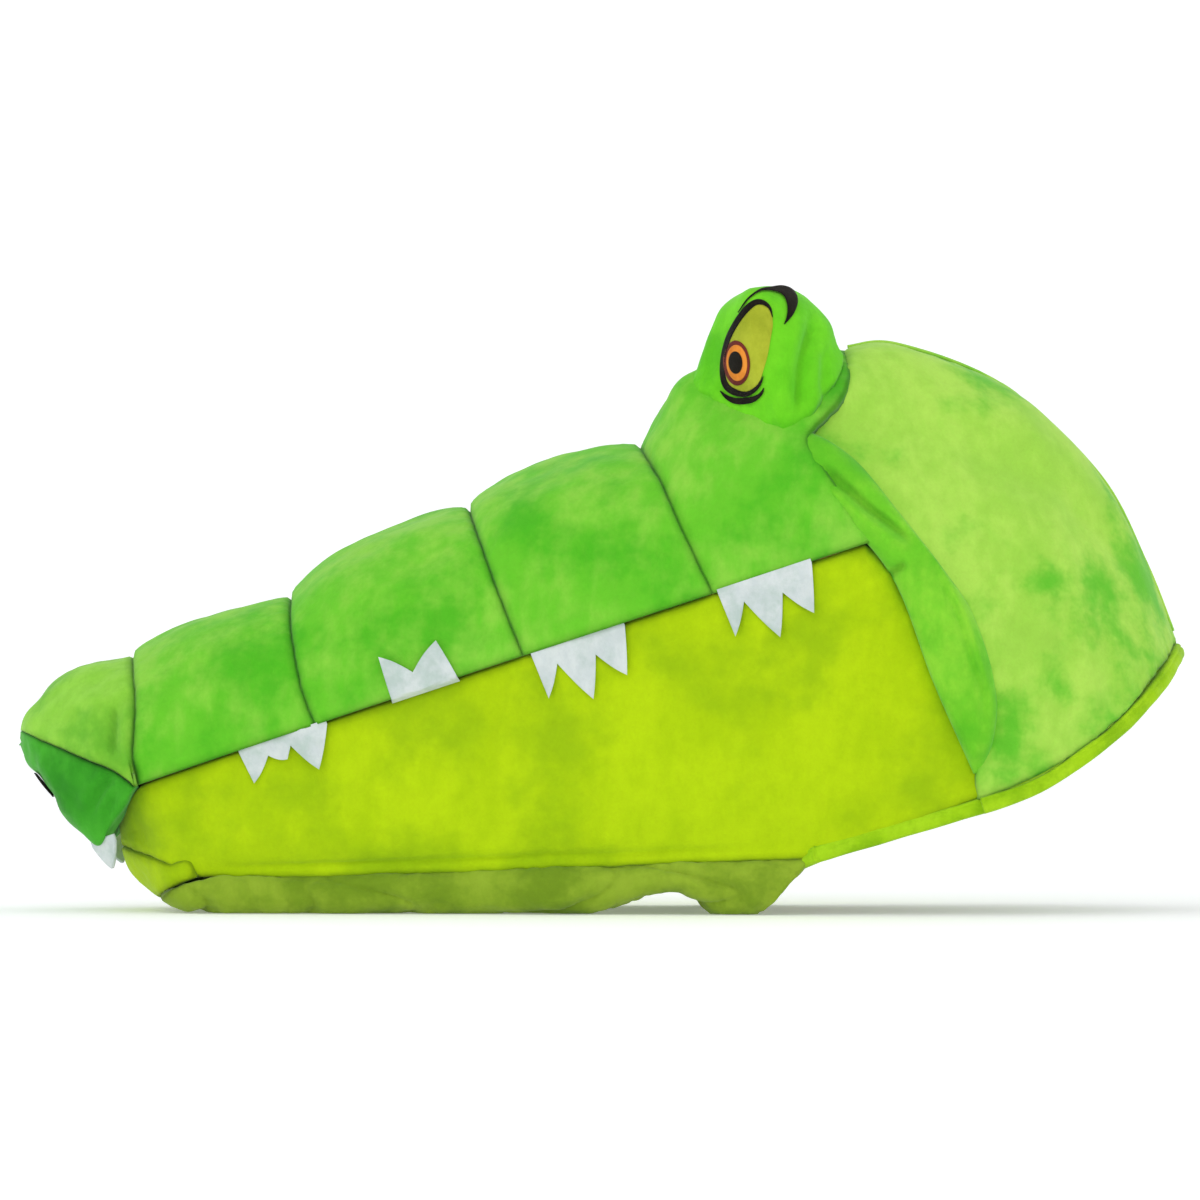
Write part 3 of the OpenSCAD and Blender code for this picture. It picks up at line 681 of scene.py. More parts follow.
    def build_nose(self, dress: "Wardrobe") -> None:
        """The light cap and the darker front panel, with the puckers where they meet the
        first groove."""
        x = self.nose_rows(64)[:, None]
        edge = self.cap_edge(x)
        grid = self.arch(x, even_angles(150, 1.0)[None] * edge)
        back = smooth((x - self.grooves[0] + 16) / 16)
        grid[..., 0] += (curve(self.strays[0], grid[..., 2]) + self.overlap) * back
        wall = np.minimum(3.0, 0.25 * (self.top(x) - curve(self.under, x)))
        fold = Crease(((-303.5, 40), (-308, 29), (-311.5, 20), (-313, 10)), 3.2, 3.2, ridge=1.2)
        seam = Seam(1.2, 2.4, 0.15)
        cap = Panel("nose_cap_plush", grid, (-315, 0, 25),
                    {Edge.FIRST_ROW: Seam(2.2, 5.0, 0.3), Edge.FIRST_COL: seam,
                     Edge.LAST_COL: seam}, (fold,), wall, 0.7, 30.0, 21, across=(1, 0, 0))
        dress.piece(cap.build(), "head", "nose_cap", finish=dress.nose_top, pad=0.7)
        self.build_nose_front(dress, seam)

    def build_nose_front(self, dress: "Wardrobe", seam: Seam) -> None:
        """The front panel: down from the cap's seam, round the lip's edge and across the
        face, which swells forward."""
        t = np.linspace(0, 1, 90)[:, None]
        x = np.where(t < 0.3, mix(-306.0, -330.5, t / 0.3),
                     -330.5 - 18.1 * (1 - (1 - np.clip((t - 0.3) / 0.7, 0, 1)) ** 1.6))
        edge, low, w = self.cap_edge(x), curve(self.under, x), self.half_width(x)
        down = np.linspace(0, 1, 26)[None]
        left = self.arch(x, -mix(edge + 0.4, 90.0, down))
        k = np.linspace(-1, 1, 60)[None, 1:-1]
        swell = smooth((t - 0.3) / 0.2) * (1 - k**2)
        face = np.stack(np.broadcast_arrays(x - 1.5 * swell, w * k, low - 1.0 * swell), -1)
        right = left[:, ::-1] * np.array([1, -1, 1])
        grid = relax(np.concatenate([left, face, right], 1), 1, 14)
        folds = (Crease(((-312, 9), (-321, 2.5), (-331, -6)), 2.0, 2.2, ridge=0.8),
                 Crease(((-313, 3), (-318, -3), (-324, -8)), 1.4, 1.8, ridge=0.6))
        wall = np.minimum(2.6, 0.22 * (self.top(x) - low))
        panel = Panel("nose_front_plush", grid, (-322, 0, 14),
                      {Edge.FIRST_COL: seam, Edge.LAST_COL: seam}, folds, wall, 0.6, 26.0, 22)
        dress.piece(panel.build(), "head", "nose_front_panel", finish=dress.nose_front, pad=0.7)


# ---------------------------------------------------------------- the eyes


@dataclass
class Eye:
    """A stuffed mound with a printed eye. Built for the left side and mirrored."""

    snout: Snout
    middle: tuple[float, float] = (4.0, 47.0)
    reach: tuple[float, float] = (-10.0, 33.0)
    peak: float = 114.5
    # the print's strokes, seen from the side: (station, height, half width)
    lid: Stroke = (
        (-11.9, 106.0, 0.25), (-6.4, 110.0, 0.35), (-0.3, 111.9, 0.5), (4.6, 111.0, 0.9),
        (8.4, 109.4, 1.8), (10.6, 106.6, 2.5), (10.6, 103.4, 2.4), (9.0, 100.0, 1.6),
        (6.8, 97.4, 0.8), (4.4, 95.4, 0.1))
    pouch: Stroke = (
        (-28.8, 78.1, 0.2), (-27.2, 75.0, 0.8), (-24.6, 72.4, 1.2), (-21.2, 71.0, 1.3),
        (-17.6, 70.4, 1.2), (-14.6, 71.0, 0.8), (-12.6, 72.4, 0.4), (-11.9, 73.4, 0.1))
    outline: Stroke = (
        (0.8, 99.6, 0.1), (0.9, 103.6, 0.6), (-1.0, 106.6, 1.0), (-4.2, 107.6, 1.2),
        (-8.6, 106.0, 1.3), (-13.6, 102.6, 1.2), (-19.0, 97.4, 1.1), (-23.4, 90.6, 1.0),
        (-25.8, 84.0, 1.1), (-25.8, 79.0, 1.3), (-23.2, 75.4, 1.3), (-19.4, 73.3, 1.0),
        (-15.6, 73.8, 0.8), (-12.6, 75.6, 0.5), (-10.5, 78.0, 0.1))
    white: Curve = ((0.7, 99.4), (0.7, 103.6), (-1.6, 106.2), (-4.6, 106.9), (-8.6, 105.3),
                    (-13.4, 101.8), (-18.6, 96.4), (-22.9, 89.8), (-25.0, 83.6), (-24.9, 79.2),
                    (-22.6, 76.0), (-19.2, 74.2), (-15.4, 74.6), (-12.4, 76.6), (-9.4, 80.6),
                    (-6.0, 85.6), (-2.8, 91.5), (-0.4, 96.0))

    def ring(self, a: Array) -> Array:
        """The ring where the mound is sewn on: an oval in station and angle on the cheek,
        drawn to a point outwards: rounded behind the point, almost straight before it.

        Args:
            a: angles round the mound.

        Returns:
            Points of the ring.
        """
        out = np.sin(a)
        round_off, point = np.abs(out) ** 1.5, (1 - np.abs(np.cos(a))) ** 0.85
        ahead = (out > 0) & (np.cos(a) < 0)
        phi = 27 + np.where(out > 0, 29, -19) * np.where(ahead, point, round_off)
        x = self.reach[0] + self.reach[1] * np.cos(a)
        return self.snout.dome(x, phi)

    def mound(self, a: Array, tilt: Array) -> Array:
        """Points of the left mound: a from the rear over the outer side, tilt 90 at the
        base and 0 at the top. The front rises in a straight slope and the rear stands
        almost upright, so the two powers change round the ring.

        Args:
            a: angles round the mound.
            tilt: angles from its top.

        Returns:
            Points, y negative.
        """
        rear = 0.5 + 0.5 * np.cos(a)
        base = self.ring(a)
        out = np.maximum(np.sin(a), 0)
        front = smooth(1 - 2 * rear) * (1 - 0.45 * out)
        flat = np.sin(tilt) ** mix(mix(mix(0.85, 0.62, rear), 0.48, out), 0.65, front)
        rise = np.cos(tilt) ** mix(mix(mix(1.0, 0.75, rear), 0.5, out), 4.0, front)
        x = mix(self.middle[0], base[..., 0], flat)
        y = mix(self.middle[1], base[..., 1], flat)
        top = self.peak - 0.25 * np.maximum(x + 4, 0)
        return np.stack([x, -y, mix(base[..., 2] - 1.0, top, rise)], -1)

    def grid(self, round_steps: int, up_steps: int) -> Array:
        """The mound's grid, top to base by round."""
        tilt = np.linspace(0.03, math.pi / 2, up_steps)[:, None]
        a = np.linspace(0, math.tau, round_steps + 1)[None]
        return self.mound(a, tilt)

    def skin(self, side: int) -> Array:
        """The mound's finished skin: lumps, the upright folds behind the eye, and the
        roll into its base seam.

        Args:
            side: LEFT or RIGHT.

        Returns:
            Its points, and each point's distance from the seam, made shorter along its folds for
            painted shade.
        """
        grid = self.grid(220, 110)
        folds = (Crease(((19, 101), (13.5, 88), (6, 77), (1, 66), (-5.5, 52)), 3.0, 3.0, ridge=1.2),
                 Crease(((18, 84), (15, 74), (9, 60)), 2.2, 3.0, ridge=0.6),
                 Crease(((-30, 84), (-22, 70), (-12, 58)), 1.2, 5.0))
        panel = Panel("mound", grid, (4, -44, 70), {Edge.LAST_ROW: Seam(2.6, 4.0, 0.35)}, folds,
                      lump=0.5, lump_size=34.0, seed=31)
        points, _, near = panel.surface()
        points[:, -1] = points[:, 0]
        mirror = np.array([1, 1 if side == LEFT else -1, 1])
        return points * mirror, near

    def build(self, side: int, dress: "Wardrobe") -> None:
        """One mound with its print.

        Args:
            side: LEFT or RIGHT.
            dress: the finishes.
        """
        word = WORDS[side]
        points, near = self.skin(side)
        mound = ring_piece(f"eye_mound_{word}_plush", points[:, :-1], near[:, :-1])
        dress.piece(mound, "head", f"eye_mound_{word}", finish=dress.bright, pad=0.8)
        patches = (
            (f"eye_white_{word}_print", self.filled(self.white), 0.3, dress.yellow,
             [f"eye_white_{word}"]),
            (f"eye_outline_{word}", self.stroke(self.outline), 0.6, dress.ink, []),
            (f"iris_rim_{word}", self.oval((-19.0, 86.6), (5.4, 9.2), -14), 0.6, dress.maroon, []),
            (f"iris_{word}_print", self.oval((-18.9, 86.6), (4.2, 7.4), -14), 0.85, dress.orange,
             [f"iris_{word}"]),
            (f"pupil_{word}_print", self.oval((-19.4, 86.9), (2.8, 4.6), -14), 1.1, dress.ink,
             [f"pupil_{word}"]),
            (f"brow_mark_{word}_print", self.stroke(self.lid), 0.4, dress.ink,
             [f"brow_mark_{word}"]),
            (f"lower_lid_{word}", self.stroke(self.pouch), 0.4, dress.ink, []))
        for name, flat, height, finish, nodes in patches:
            obj = self.printed(name, flat, points, side, height)
            dress.piece(obj, "head", *nodes, finish=finish)

    def stroke(self, points: Stroke) -> Array:
        """A brush stroke as a flat grid: the line and its half width run on cubic curves
        of the share of its points, and seven points lie across it.

        Args:
            points: (station, height, half width) along the stroke.

        Returns:
            A grid of (station, height).
        """
        line = np.asarray(points)
        share = np.linspace(0, 1, len(line))
        t = np.linspace(0, 1, 15 * len(line))
        mid = np.stack([curve(tuple(zip(share, line[:, i])), t) for i in range(3)], -1)
        ahead = np.gradient(mid[:, :2], axis=0)
        ahead /= np.linalg.norm(ahead, axis=1, keepdims=True)
        side = np.stack([-ahead[:, 1], ahead[:, 0]], -1)
        k = np.linspace(-1, 1, 7)[None, :, None]
        return mid[:, None, :2] + side[:, None] * np.maximum(mid[:, None, 2:], 0.05) * k

    def filled(self, points: Curve) -> Array:
        """A filled outline as a grid of rings round its middle.

        Args:
            points: (station, height) round the outline.

        Returns:
            A grid of (station, height).
        """
        line = np.asarray(points + points[:1])
        share = np.linspace(0, 1, len(line))
        t = np.linspace(0, 1, 121)
        rim = np.stack([curve(tuple(zip(share, line[:, i])), t) for i in range(2)], -1)
        middle = line[:-1].mean(0)
        return middle + (rim - middle) * np.linspace(0.002, 1, 26)[:, None, None]

    def oval(self, middle: tuple[float, float], half: tuple[float, float], turn: float) -> Array:
        """A filled oval as a grid of rings round its middle.

        Args:
            middle: its station and height.
            half: its half sizes along and up.
            turn: how far it is turned, in degrees.

        Returns:
            A grid of (station, height).
        """
        a = np.linspace(0, math.tau, 73)
        c, s = math.cos(math.radians(turn)), math.sin(math.radians(turn))
        u, v = half[0] * np.cos(a), half[1] * np.sin(a)
        rim = np.stack([u * c - v * s, u * s + v * c], -1)
        return np.asarray(middle) + rim * np.linspace(0.002, 1, 12)[:, None, None]

    def printed(self, name: str, flat: Array, skin: Array, side: int,
                height: float) -> bpy.types.Object:
        """Lays a flat print on the mound, straight in from the side, as a thin film. Each
        point takes the depth of the skin round it, each skin point counting as the bell of
        its distance, and more the further out it stands.

        Args:
            name: the piece's name.
            flat: grid of (station, height) points; a ring grid where its ends meet.
            skin: the mound's points.
            side: LEFT or RIGHT.
            height: how far the film stands off, in mm.

        Returns:
            The film.
        """
        outer = skin[skin[..., 1] * side > abs(self.middle[1]) - 3][::2].astype(np.float32)
        far = np.square(flat.reshape(-1, 1, 2).astype(np.float32) - outer[None][..., (0, 2)])
        far = far.sum(-1)
        pull = (side * outer[:, 1] - np.abs(outer[:, 1]).max()) / 1.2
        weight = np.exp(-(far - far.min(1, keepdims=True)) / 2.0 + pull)
        depth = ((weight * outer[:, 1]).sum(1) / weight.sum(1)).reshape(flat.shape[:2])
        front, back = (np.stack([flat[..., 0], depth + side * h, flat[..., 1]], -1)
                       for h in (height, height - 0.45))
        if np.allclose(flat[:, 0], flat[:, -1]):
            return ring_piece(name, np.concatenate([front[:, :-1], back[::-1, :-1]]))
        return slab(name, front, back)


# ---------------------------------------------------------------- crown and jowls


@dataclass
class Crown:
    """The two rear panels, the ridge where they meet, and the padded jowl rolls."""

    half_width: float = 85.0
    top: float = 80.0
    hem_start: float = 20.0
    length: float = 119.0
    side_drop: float = 113.0
    rear_drop: float = 80.0
    crest: tuple[tuple[float, float], ...] = (
        (26, 80), (48, 74), (84, 44), (110, -3), (117, -44), (119, -80))
    jowl_rear: Curve = ((-112.0, 21.0), (-104.0, 24.0), (-77.0, 37.0), (-42.0, 39.0),
                        (-19.0, 33.0), (18.0, 20.0), (48.0, 10.0), (58.0, 14.0),
                        (70.0, 24.0), (90.0, 27.0))
    jowl_front: Curve = Snout.jowl_front
    # the crown's own front edge, hidden under the roll up to its top
    front_edge: Curve = ((-112.0, 17.0), (-104.0, 19.0), (-77.0, 31.0), (-42.0, 33.0),
                         (-19.0, 27.0), (18.0, 12.0), (40.0, -2.0), (50.0, -3.0), (60.0, 14.0),
                         (70.0, 22.5), (90.0, 25.0))

    def crest_at(self, t: Array) -> tuple[Array, Array]:
        """Station and height of the middle line, t from the eyes to the rear hem."""
        share = np.linspace(0, 1, len(self.crest))
        line = np.asarray(self.crest, float)
        return tuple(curve(tuple(zip(share, line[:, i])), t) for i in range(2))

    def neck_edge(self, a: Array) -> Array:
        """The neck opening's edge: a superellipse in plan, which climbs from the sides to
        the rear as cos^2.2.

        Args:
            a: angles, 90 degrees at a jowl and 0 at the rear.

        Returns:
            Points of the edge, y positive.
        """
        c = np.cos(np.radians(a))
        return np.stack([mix(self.hem_start, self.length, c),
                         self.half_width * np.sin(np.radians(a)),
                         mix(-self.side_drop, -self.rear_drop, np.maximum(c, 0) ** 2.2)], -1)

    def side_at(self, z: Array) -> Array:
        """Half width of the crown's front edge at height z."""
        reach = (z + self.side_drop) / (self.side_drop + self.top)
        return self.half_width * np.maximum(1 - np.maximum(reach, 0) ** (2 / 0.55), 0.01) ** 0.275

    def at(self, u: Array, v: Array) -> Array:
        """A point of the left half: u from jowl to rear hem, v from -1 at the side to 0
        on the middle line. Each section is a superellipse between the neck's edge and the
        middle line, its power growing from 0.55 in front to 1 at the rear.

        Args:
            u: shares along the crown.
            v: shares across it.

        Returns:
            Points, y negative.
        """
        a, f = 90 - 45 * u, 0.55 + 0.45 * u
        edge, (cx, cz) = self.neck_edge(a), self.crest_at(u)
        low = np.cos(np.radians(a)) ** f
        va = np.radians(np.abs(v) * a)
        reach = (np.cos(va) ** f - low) / (1 - low)
        top_sin = np.sin(np.radians(a))
        y = self.half_width * top_sin * (np.sin(va) / top_sin) ** f
        lean = curve(self.front_edge, mix(-self.side_drop, self.top, reach)) - mix(
            self.hem_start, self.crest[0][0], reach)
        x = mix(edge[..., 0], cx, reach) + (1 - u) ** 2 * lean
        return np.stack([x, -(y + 0.15), mix(edge[..., 2], cz, reach)], -1)

    def build(self, side: int, dress: "Wardrobe") -> None:
        """One half of the crown and its jowl.

        Args:
            side: LEFT or RIGHT.
            dress: the finishes.
        """
        word = WORDS[side]
        u = np.linspace(0.005, 1, 84)[:, None]
        t = np.linspace(0, 1, 110)[None]
        v = -(1 - t) ** 1.7 / ((1 - t) ** 1.7 + t**1.7)
        grid = self.at(u, v) * np.array([1, -side, 1])
        dents = (Crease(((60, 40), (72, 18), (78, -10)), 1.6, 13.0),
                 Crease(((46, -40), (60, -58), (82, -66)), 1.8, 12.0),
                 Crease(((92, 10), (98, -20), (100, -48)), 1.2, 11.0))
        panel = Panel(f"crown_{word}_plush", grid, (40, 0, -30),
                      {Edge.FIRST_ROW: Seam(4.0, 6.0, 0.4), Edge.LAST_ROW: Seam(1.5, 4.0, 0.5),
                       Edge.FIRST_COL: Seam(1.5, 4.0, 0.5), Edge.LAST_COL: Seam(1.6, 3.0, 0.2)},
                      dents, lump=1.5, lump_size=74.0, seed=41)
        dress.piece(panel.build(), "head", f"crown_{word}", finish=dress.light, pad=0.5)
        self.build_jowl(side, dress)

    def build_jowl(self, side: int, dress: "Wardrobe") -> None:
        """The roll between cheek and crown: rings that follow its two edges, with a
        raised front fold, a valley behind it and a ridge of piping at the rear.

        Args:
            side: LEFT or RIGHT.
            dress: the finishes.
        """
        z = np.linspace(-102.5, 51, 120)[:, None]
        turn = np.linspace(0, math.tau, 96, endpoint=False)[None]
        front, rear = curve(self.jowl_front, z) - 0.5, curve(self.jowl_rear, z) + 0.8
        point = 1 - np.sqrt(np.clip(1 - np.clip((z - 28) / 23, 0, 1) ** 2, 0, 1))
        foot = 1 - np.sqrt(np.clip(1 - np.clip((-92 - z) / 11, 0, 1) ** 2, 0, 1))
        rear = mix(mix(rear, front + 2.5, point), front + 3, foot)
        x = mix(front, rear, 0.5 - np.cos(turn) / 2)
        fat = 8.2 * smooth((z + 105) / 13) * smooth((58 - z) / 18) + 1.2
        out = self.side_at(z) - 2 + fat * signed(np.sin(turn), 0.8)
        rings = np.stack(np.broadcast_arrays(x, out, z), -1)
        folds = (Crease(((-3, 44), (5, 27), (14, 12), (24, -2), (27, -14)), 4.6, 3.4),
                 Crease(((-4.8, 36), (1, 24), (9, 11.5), (23.5, -8)), -2.0, 3.2),
                 Crease(((2.3, 32), (17, 11.8), (32, -10), (36.6, -40), (36, -76), (28, -98)),
                        -1.8, 2.0),
                 Crease(((9, -17), (14, -14.5), (22, -12)), 4.2, 2.4),
                 Crease(((17, -30), (22, -55), (19, -84)), 1.4, 5.0),
                 Crease(((30, -12), (33.5, -40), (32.8, -74), (25, -95)), 1.4, 1.6))
        press = sum(fold.press(rings) for fold in folds)
        lump = 0.8 * Lumps(61, 30.0).at(rings) + 0.35 * Lumps(62, 12.0).at(rings)
        rings[..., 1] += (lump - press) * smooth(np.sin(turn) * 2.5 + 0.3)
        rings[..., 1] *= side
        # painted shade: the jowl's front and rear edges, against cheek and crown, count as seams,
        # and its creases count as near one, so the seam shade darkens them
        near = FAR - 27 * smooth(np.abs(np.cos(turn)) * 5 - 3.9)
        near = np.minimum(near, np.maximum(7.0 - 1.9 * press, 1.2))
        obj = ring_piece(f"jowl_{WORDS[side]}_plush", rings, near)
        dress.piece(obj, "head", f"jowl_{WORDS[side]}", finish=dress.jowl, pad=0.8)

    def build_ridge(self, dress: "Wardrobe") -> None:
        """The gathered ridge of the seam over the crown's middle."""
        t = np.linspace(0.02, 0.97, 160)
        x, z = self.crest_at(t)
        wave = 0.25 * np.sin(t * 210)
        path = np.stack([x, wave, z], -1)
        a = np.linspace(0, math.tau, 12, endpoint=False)
        round_off = np.stack([1.4 * np.cos(a), 0.9 * np.sin(a)], -1)
        rings = swept(path, np.stack([x - 10, 0 * x, z + 40], -1), round_off)
        dress.piece(ring_piece("crown_seam_ridge", rings), "head", "crown_seam",
                    finish=dress.light)


# ---------------------------------------------------------------- the jaw


@dataclass
class Jaw:
    """Lime sides that run on into the cheeks, the chin, and the padded underside."""

    snout: Snout
    crown: Crown
    hinge_up: float = STAND.hinge[2] / MM
    chin: float = -318.0
    inset: float = 2.2
    seam_front: float = 19.0
    seam_rear: float = 28.0
    strip: float = 6.0
    rear_edge: float = -3.3
    lean: float = math.tan(math.radians(23.5))
    lip_x: float = 50.0
    corner_x: float = 86.0
    # the plan of the front: a superellipse's power, how long its rounding is, and how far
    # behind the chin's tip the sides begin
    plan_power: float = 2.6
    rounding: float = 40.0
    chin_back: float = 12.0
    # the underside on the table: where its front corners are, and how far it bows between
    belly_front: float = -190.9
    belly_bow: float = 10.5
    # the jaw's front, seen from the side
    bow: Curve = ((-60.0, -300.0), (-52.8, -307.5), (-47.8, -312.5), (-41.0, -317.7),
                  (-29.3, -323.0), (-20.0, -322.5), (-10.0, -320.0))

    def table(self, x: Array) -> Array:
        """Height of the table in the mouth frame at station x."""
        return -(self.hinge_up + x * math.sin(STAND.pitch)) / math.cos(STAND.pitch)

    def seam_rise(self, x: Array) -> Array:
        """Height of the lower seam over the table, growing rearward in an S curve."""
        return mix(self.seam_front, self.seam_rear, smooth((x + 297) / 297))

    def seam(self, x: Array) -> Array:
        """Height of the lower seam in the mouth frame."""
        return self.table(x) + self.seam_rise(x) / math.cos(STAND.pitch)

    def width(self, x: Array) -> Array:
        """Half width of the jaw, rounded off over its last 32 mm."""
        c = np.clip((self.chin + 32 - x) / 32, 0, 1)
        return (self.snout.lip(x) - self.inset) * np.maximum(
            1 - c**self.plan_power, 1e-4) ** (1 / self.plan_power)

    def edge(self, x: Array) -> Array:
        """Top edge of the jaw, just under the snout's lips."""
        return curve(self.snout.under, np.maximum(x, -330)) - 0.2

    def side(self, s: Array, t: Array) -> Array:
        """A point of the left side. The rear edge leans forward as it goes down; the side
        is upright behind the teeth and bellies out below them as a half sine.

        Args:
            s: shares from the chin's corner to the rear edge.
            t: shares from the lip to the lower seam, past 1 for the strip rolled under.

        Returns:
            Points, y negative.
        """
        x0 = mix(self.chin + self.chin_back, self.rear_edge, s)
        rear_depth = -self.seam(self.rear_edge - 100 * self.lean)
        x = x0 - np.minimum(t, 1) * s**3 * rear_depth * self.lean
        top, low = self.edge(x), self.seam(x)
        flat = np.minimum(0.6, 27 / (top - low))
        belly = 3 * np.sin(np.pi * np.clip((t - flat) / (1 - flat), 0, 1))
        y = -self.width(x) - belly * smooth(4 * s) + 4 * np.minimum(t, 1.15) ** 4
        return np.stack(np.broadcast_arrays(x, y, mix(top, low, t)), -1)

    def front(self, q: Array, z: Array) -> Array:
        """A point of the front: a superellipse in plan, carried forward in the middle to
        the jaw's bow.

        Args:
            q: 0 at the middle, 1 at the left corner.
            z: heights.

        Returns:
            Points, y negative for q above 0.
        """
        half = self.width(self.chin + self.chin_back)
        full = self.snout.lip(self.chin + self.rounding) - self.inset
        part = np.minimum(np.abs(q) * half / full, 0.999)
        x = self.chin + self.rounding - self.rounding * (
            1 - part**self.plan_power) ** (1 / self.plan_power)
        x = x + (curve(self.bow, z) - self.chin) * np.maximum(1 - q * q, 0) ** 2
        return np.stack(np.broadcast_arrays(x, -q * half, z), -1)

    def chin_seam(self, q: Array) -> Array:
        """Height where side and chin meet: halfway down in the middle, at the lower seam
        at the corner.

        Args:
            q: 0 at the middle, 1 at a corner.

        Returns:
            Heights in the mouth frame.
        """
        q = np.minimum(np.abs(q), 1)
        x = mix(self.chin, self.chin + self.chin_back, q)
        return mix(self.edge(x - 5 * (1 - q)), self.seam(x), mix(0.42, 1.0, q**1.3))

    def cheek(self, w: Array, t: Array) -> Array:
        """The stretch behind the jaw that folds when the mouth opens, tucked in under the
        jowl's edge.

        Args:
            w: shares from the jaw to the jowl.
            t: shares from the lip to the hem.

        Returns:
            Points, y negative.
        """
        a = self.side(np.ones_like(w), t)
        z = mix(0.4, -self.crown.side_drop, t)
        b = np.stack(np.broadcast_arrays(curve(self.crown.jowl_front, z), 1.5
                                         - self.crown.side_at(z), z + 0 * w), -1)
        p = mix(a, b, w[..., None])
        p[..., 1] += 2.5 * smooth((w - 0.8) / 0.25)
        return p

    def skin(self) -> Array:
        """The left side's grid, front to jowl by lip to strip."""
        t = np.linspace(0, 1, 56)[None]
        q = np.linspace(0, 1, 24)[:, None]
        bow = self.front(q, 0 * q)
        top = self.edge(bow[..., 0])
        front = self.front(q, mix(top, self.chin_seam(q), t))
        s = np.linspace(0, 1, 175)[1:, None]
        depth = self.edge(-300 * (1 - s)) - self.seam(-300 * (1 - s))
        side = self.side(s, t * (1 + self.strip / depth * smooth(s * 30)))
        w = np.linspace(0, 1.06, 26)[1:, None]
        low = 1 + self.strip / depth[-1] * (1 - w)
        rear = self.cheek(w, t * np.maximum(low, 1))
        return relax(np.concatenate([front, side, rear]), 0, 6)

    def build_side(self, side: int, dress: "Wardrobe") -> None:
        """One lime side, from the jaw across the hinge to the jowl.

        Args:
            side: LEFT or RIGHT.
            dress: the finishes.
        """
        word = WORDS[side]
        grid = self.skin()
        x = np.linspace(-300, -46, 26)
        stitch = tuple(zip(x, self.seam(x)))
        folds = (Crease(stitch, 1.7, 1.3),
                 Crease(((-236, -56), (-214, -44), (-188, -45)), 1.2, 9.0),
                 Crease(((-150, -70), (-118, -52), (-86, -58)), 1.5, 12.0),
                 Crease(((-64, -30), (-44, -62), (-48, -92)), 1.6, 10.0),
                 Crease(((2, -34), (-8, -62), (-4, -96)), 1.4, 9.0))
        panel = Panel(f"jaw_side_{word}_plush", grid, (-150, 0, -40),
                      {Edge.FIRST_COL: Seam(0.3, 1.2, 0.0), Edge.LAST_COL: Seam(1.6, 3.5, 0.3),
                       Edge.LAST_ROW: Seam(2.0, 5.0, 0.4)}, folds, 3.0, 1.0, 52.0, 71)
        obj = self.mirrored(panel, side)
        bend(obj)
        dress.piece(obj, None, f"jaw_side_{word}", f"cheek_gusset_{word}", finish=dress.lime,
                    pad=0.6)

    def mirrored(self, panel: Panel, side: int) -> bpy.types.Object:
        """A panel drawn for the left, built on the given side."""
        panel.grid = panel.grid * np.array([1, -side, 1])
        return panel.build()

    def build_chin(self, dress: "Wardrobe") -> None:
        """The front of the jaw, between the two sides' seam and the underside."""
        q = np.linspace(-1.12, 1.12, 78)[:, None]
        t = np.linspace(0, 1, 30)[None]
        low = mix(-48.5, -44.0, np.abs(q) ** 1.5)
        grid = self.front(q, mix(self.chin_seam(q) + 0.3, low, t))
        grid[..., 1] *= 1 - 0.05 * smooth((np.abs(q) - 0.9) / 0.2)
        soft = Seam(1.4, 2.8, 0.2)
        panel = Panel("chin_plush", grid, (-300, 0, -30),
                      {edge: soft for edge in Edge}, (), 2.6, 0.5, 24.0, 75)
        dress.piece(panel.build(), "jaw", "chin_panel", finish=dress.lime, pad=0.6)

    def station(self, x: Array) -> Array:
        """Mouth station of the lower seam over the point x of the table."""
        h = (self.seam_front + self.seam_rear) / 2
        return ((x - STAND.hinge[0] / MM) * math.cos(STAND.pitch)
                + (h - self.hinge_up) * math.sin(STAND.pitch))

    def seam_half(self, x: Array) -> Array:
        """Half width at the lower seam, over the point x of the table."""
        return self.snout.lip(self.station(x)) - self.inset - 4

    def rear(self, v: Array) -> Array:
        """The underside's rear edge on the table's plan: the lip sags back in the middle."""
        return mix(self.lip_x - 3.5, self.corner_x, v * v)

    def belly(self, u: Array, v: Array) -> Array:
        """A point of the underside in the row's millimetres: u from the front to the rear,
        v from -1 to 1 across. Across, it runs from the strip down over a bulge and a fold
        to the table. The front rises to the chin, and the rear lifts in front of the lip.

        Args:
            u: shares along the jaw.
            v: shares across it.

        Returns:
            Points in the row frame, mm.
        """
        k = np.abs(v)
        # out and up across one half, as shares of the seam's half width and height
        spread = curve(((0.0, 0.0), (0.5, 0.64), (0.66, 0.87), (0.76, 0.965), (0.84, 1.012),
                        (0.91, 1.02), (0.95, 1.0), (1.0, 0.95)), k)
        climb = curve(((0.0, 0.0), (0.5, 0.0), (0.66, 0.05), (0.76, 0.2), (0.84, 0.44),
                       (0.91, 0.72), (0.95, 0.92), (1.0, 1.12)), k)
        bow = self.belly_front + self.belly_bow * (1 - (k / 0.88).clip(0, 1) ** 2)
        turn = (1 - np.minimum(k, 0.999) ** self.plan_power) ** (1 / self.plan_power)
        x = mix(bow + self.rounding - self.rounding * turn, self.rear(v), u)
        h = self.seam_rise(self.station(x)) - self.strip + 0.5
        start = (x - bow).clip(0, None)
        z = h * climb - 1.5 * (1 - k)
        z = z + 8.0 * np.clip(1 - (x - bow) / 30, 0, 1) ** 2
        # the rear lifts in front of the sagging lip, steeper behind than before
        notch = np.exp(-((x - 31) / np.where(x < 31, 27, 11)) ** 2)
        z = z + 16 * notch * (1 - v * v)
        tuck = mix(0.9, 1.0, smooth(start / 25))
        return np.stack(np.broadcast_arrays(x, np.sign(v) * spread * tuck
                                            * self.seam_half(x), z), -1)

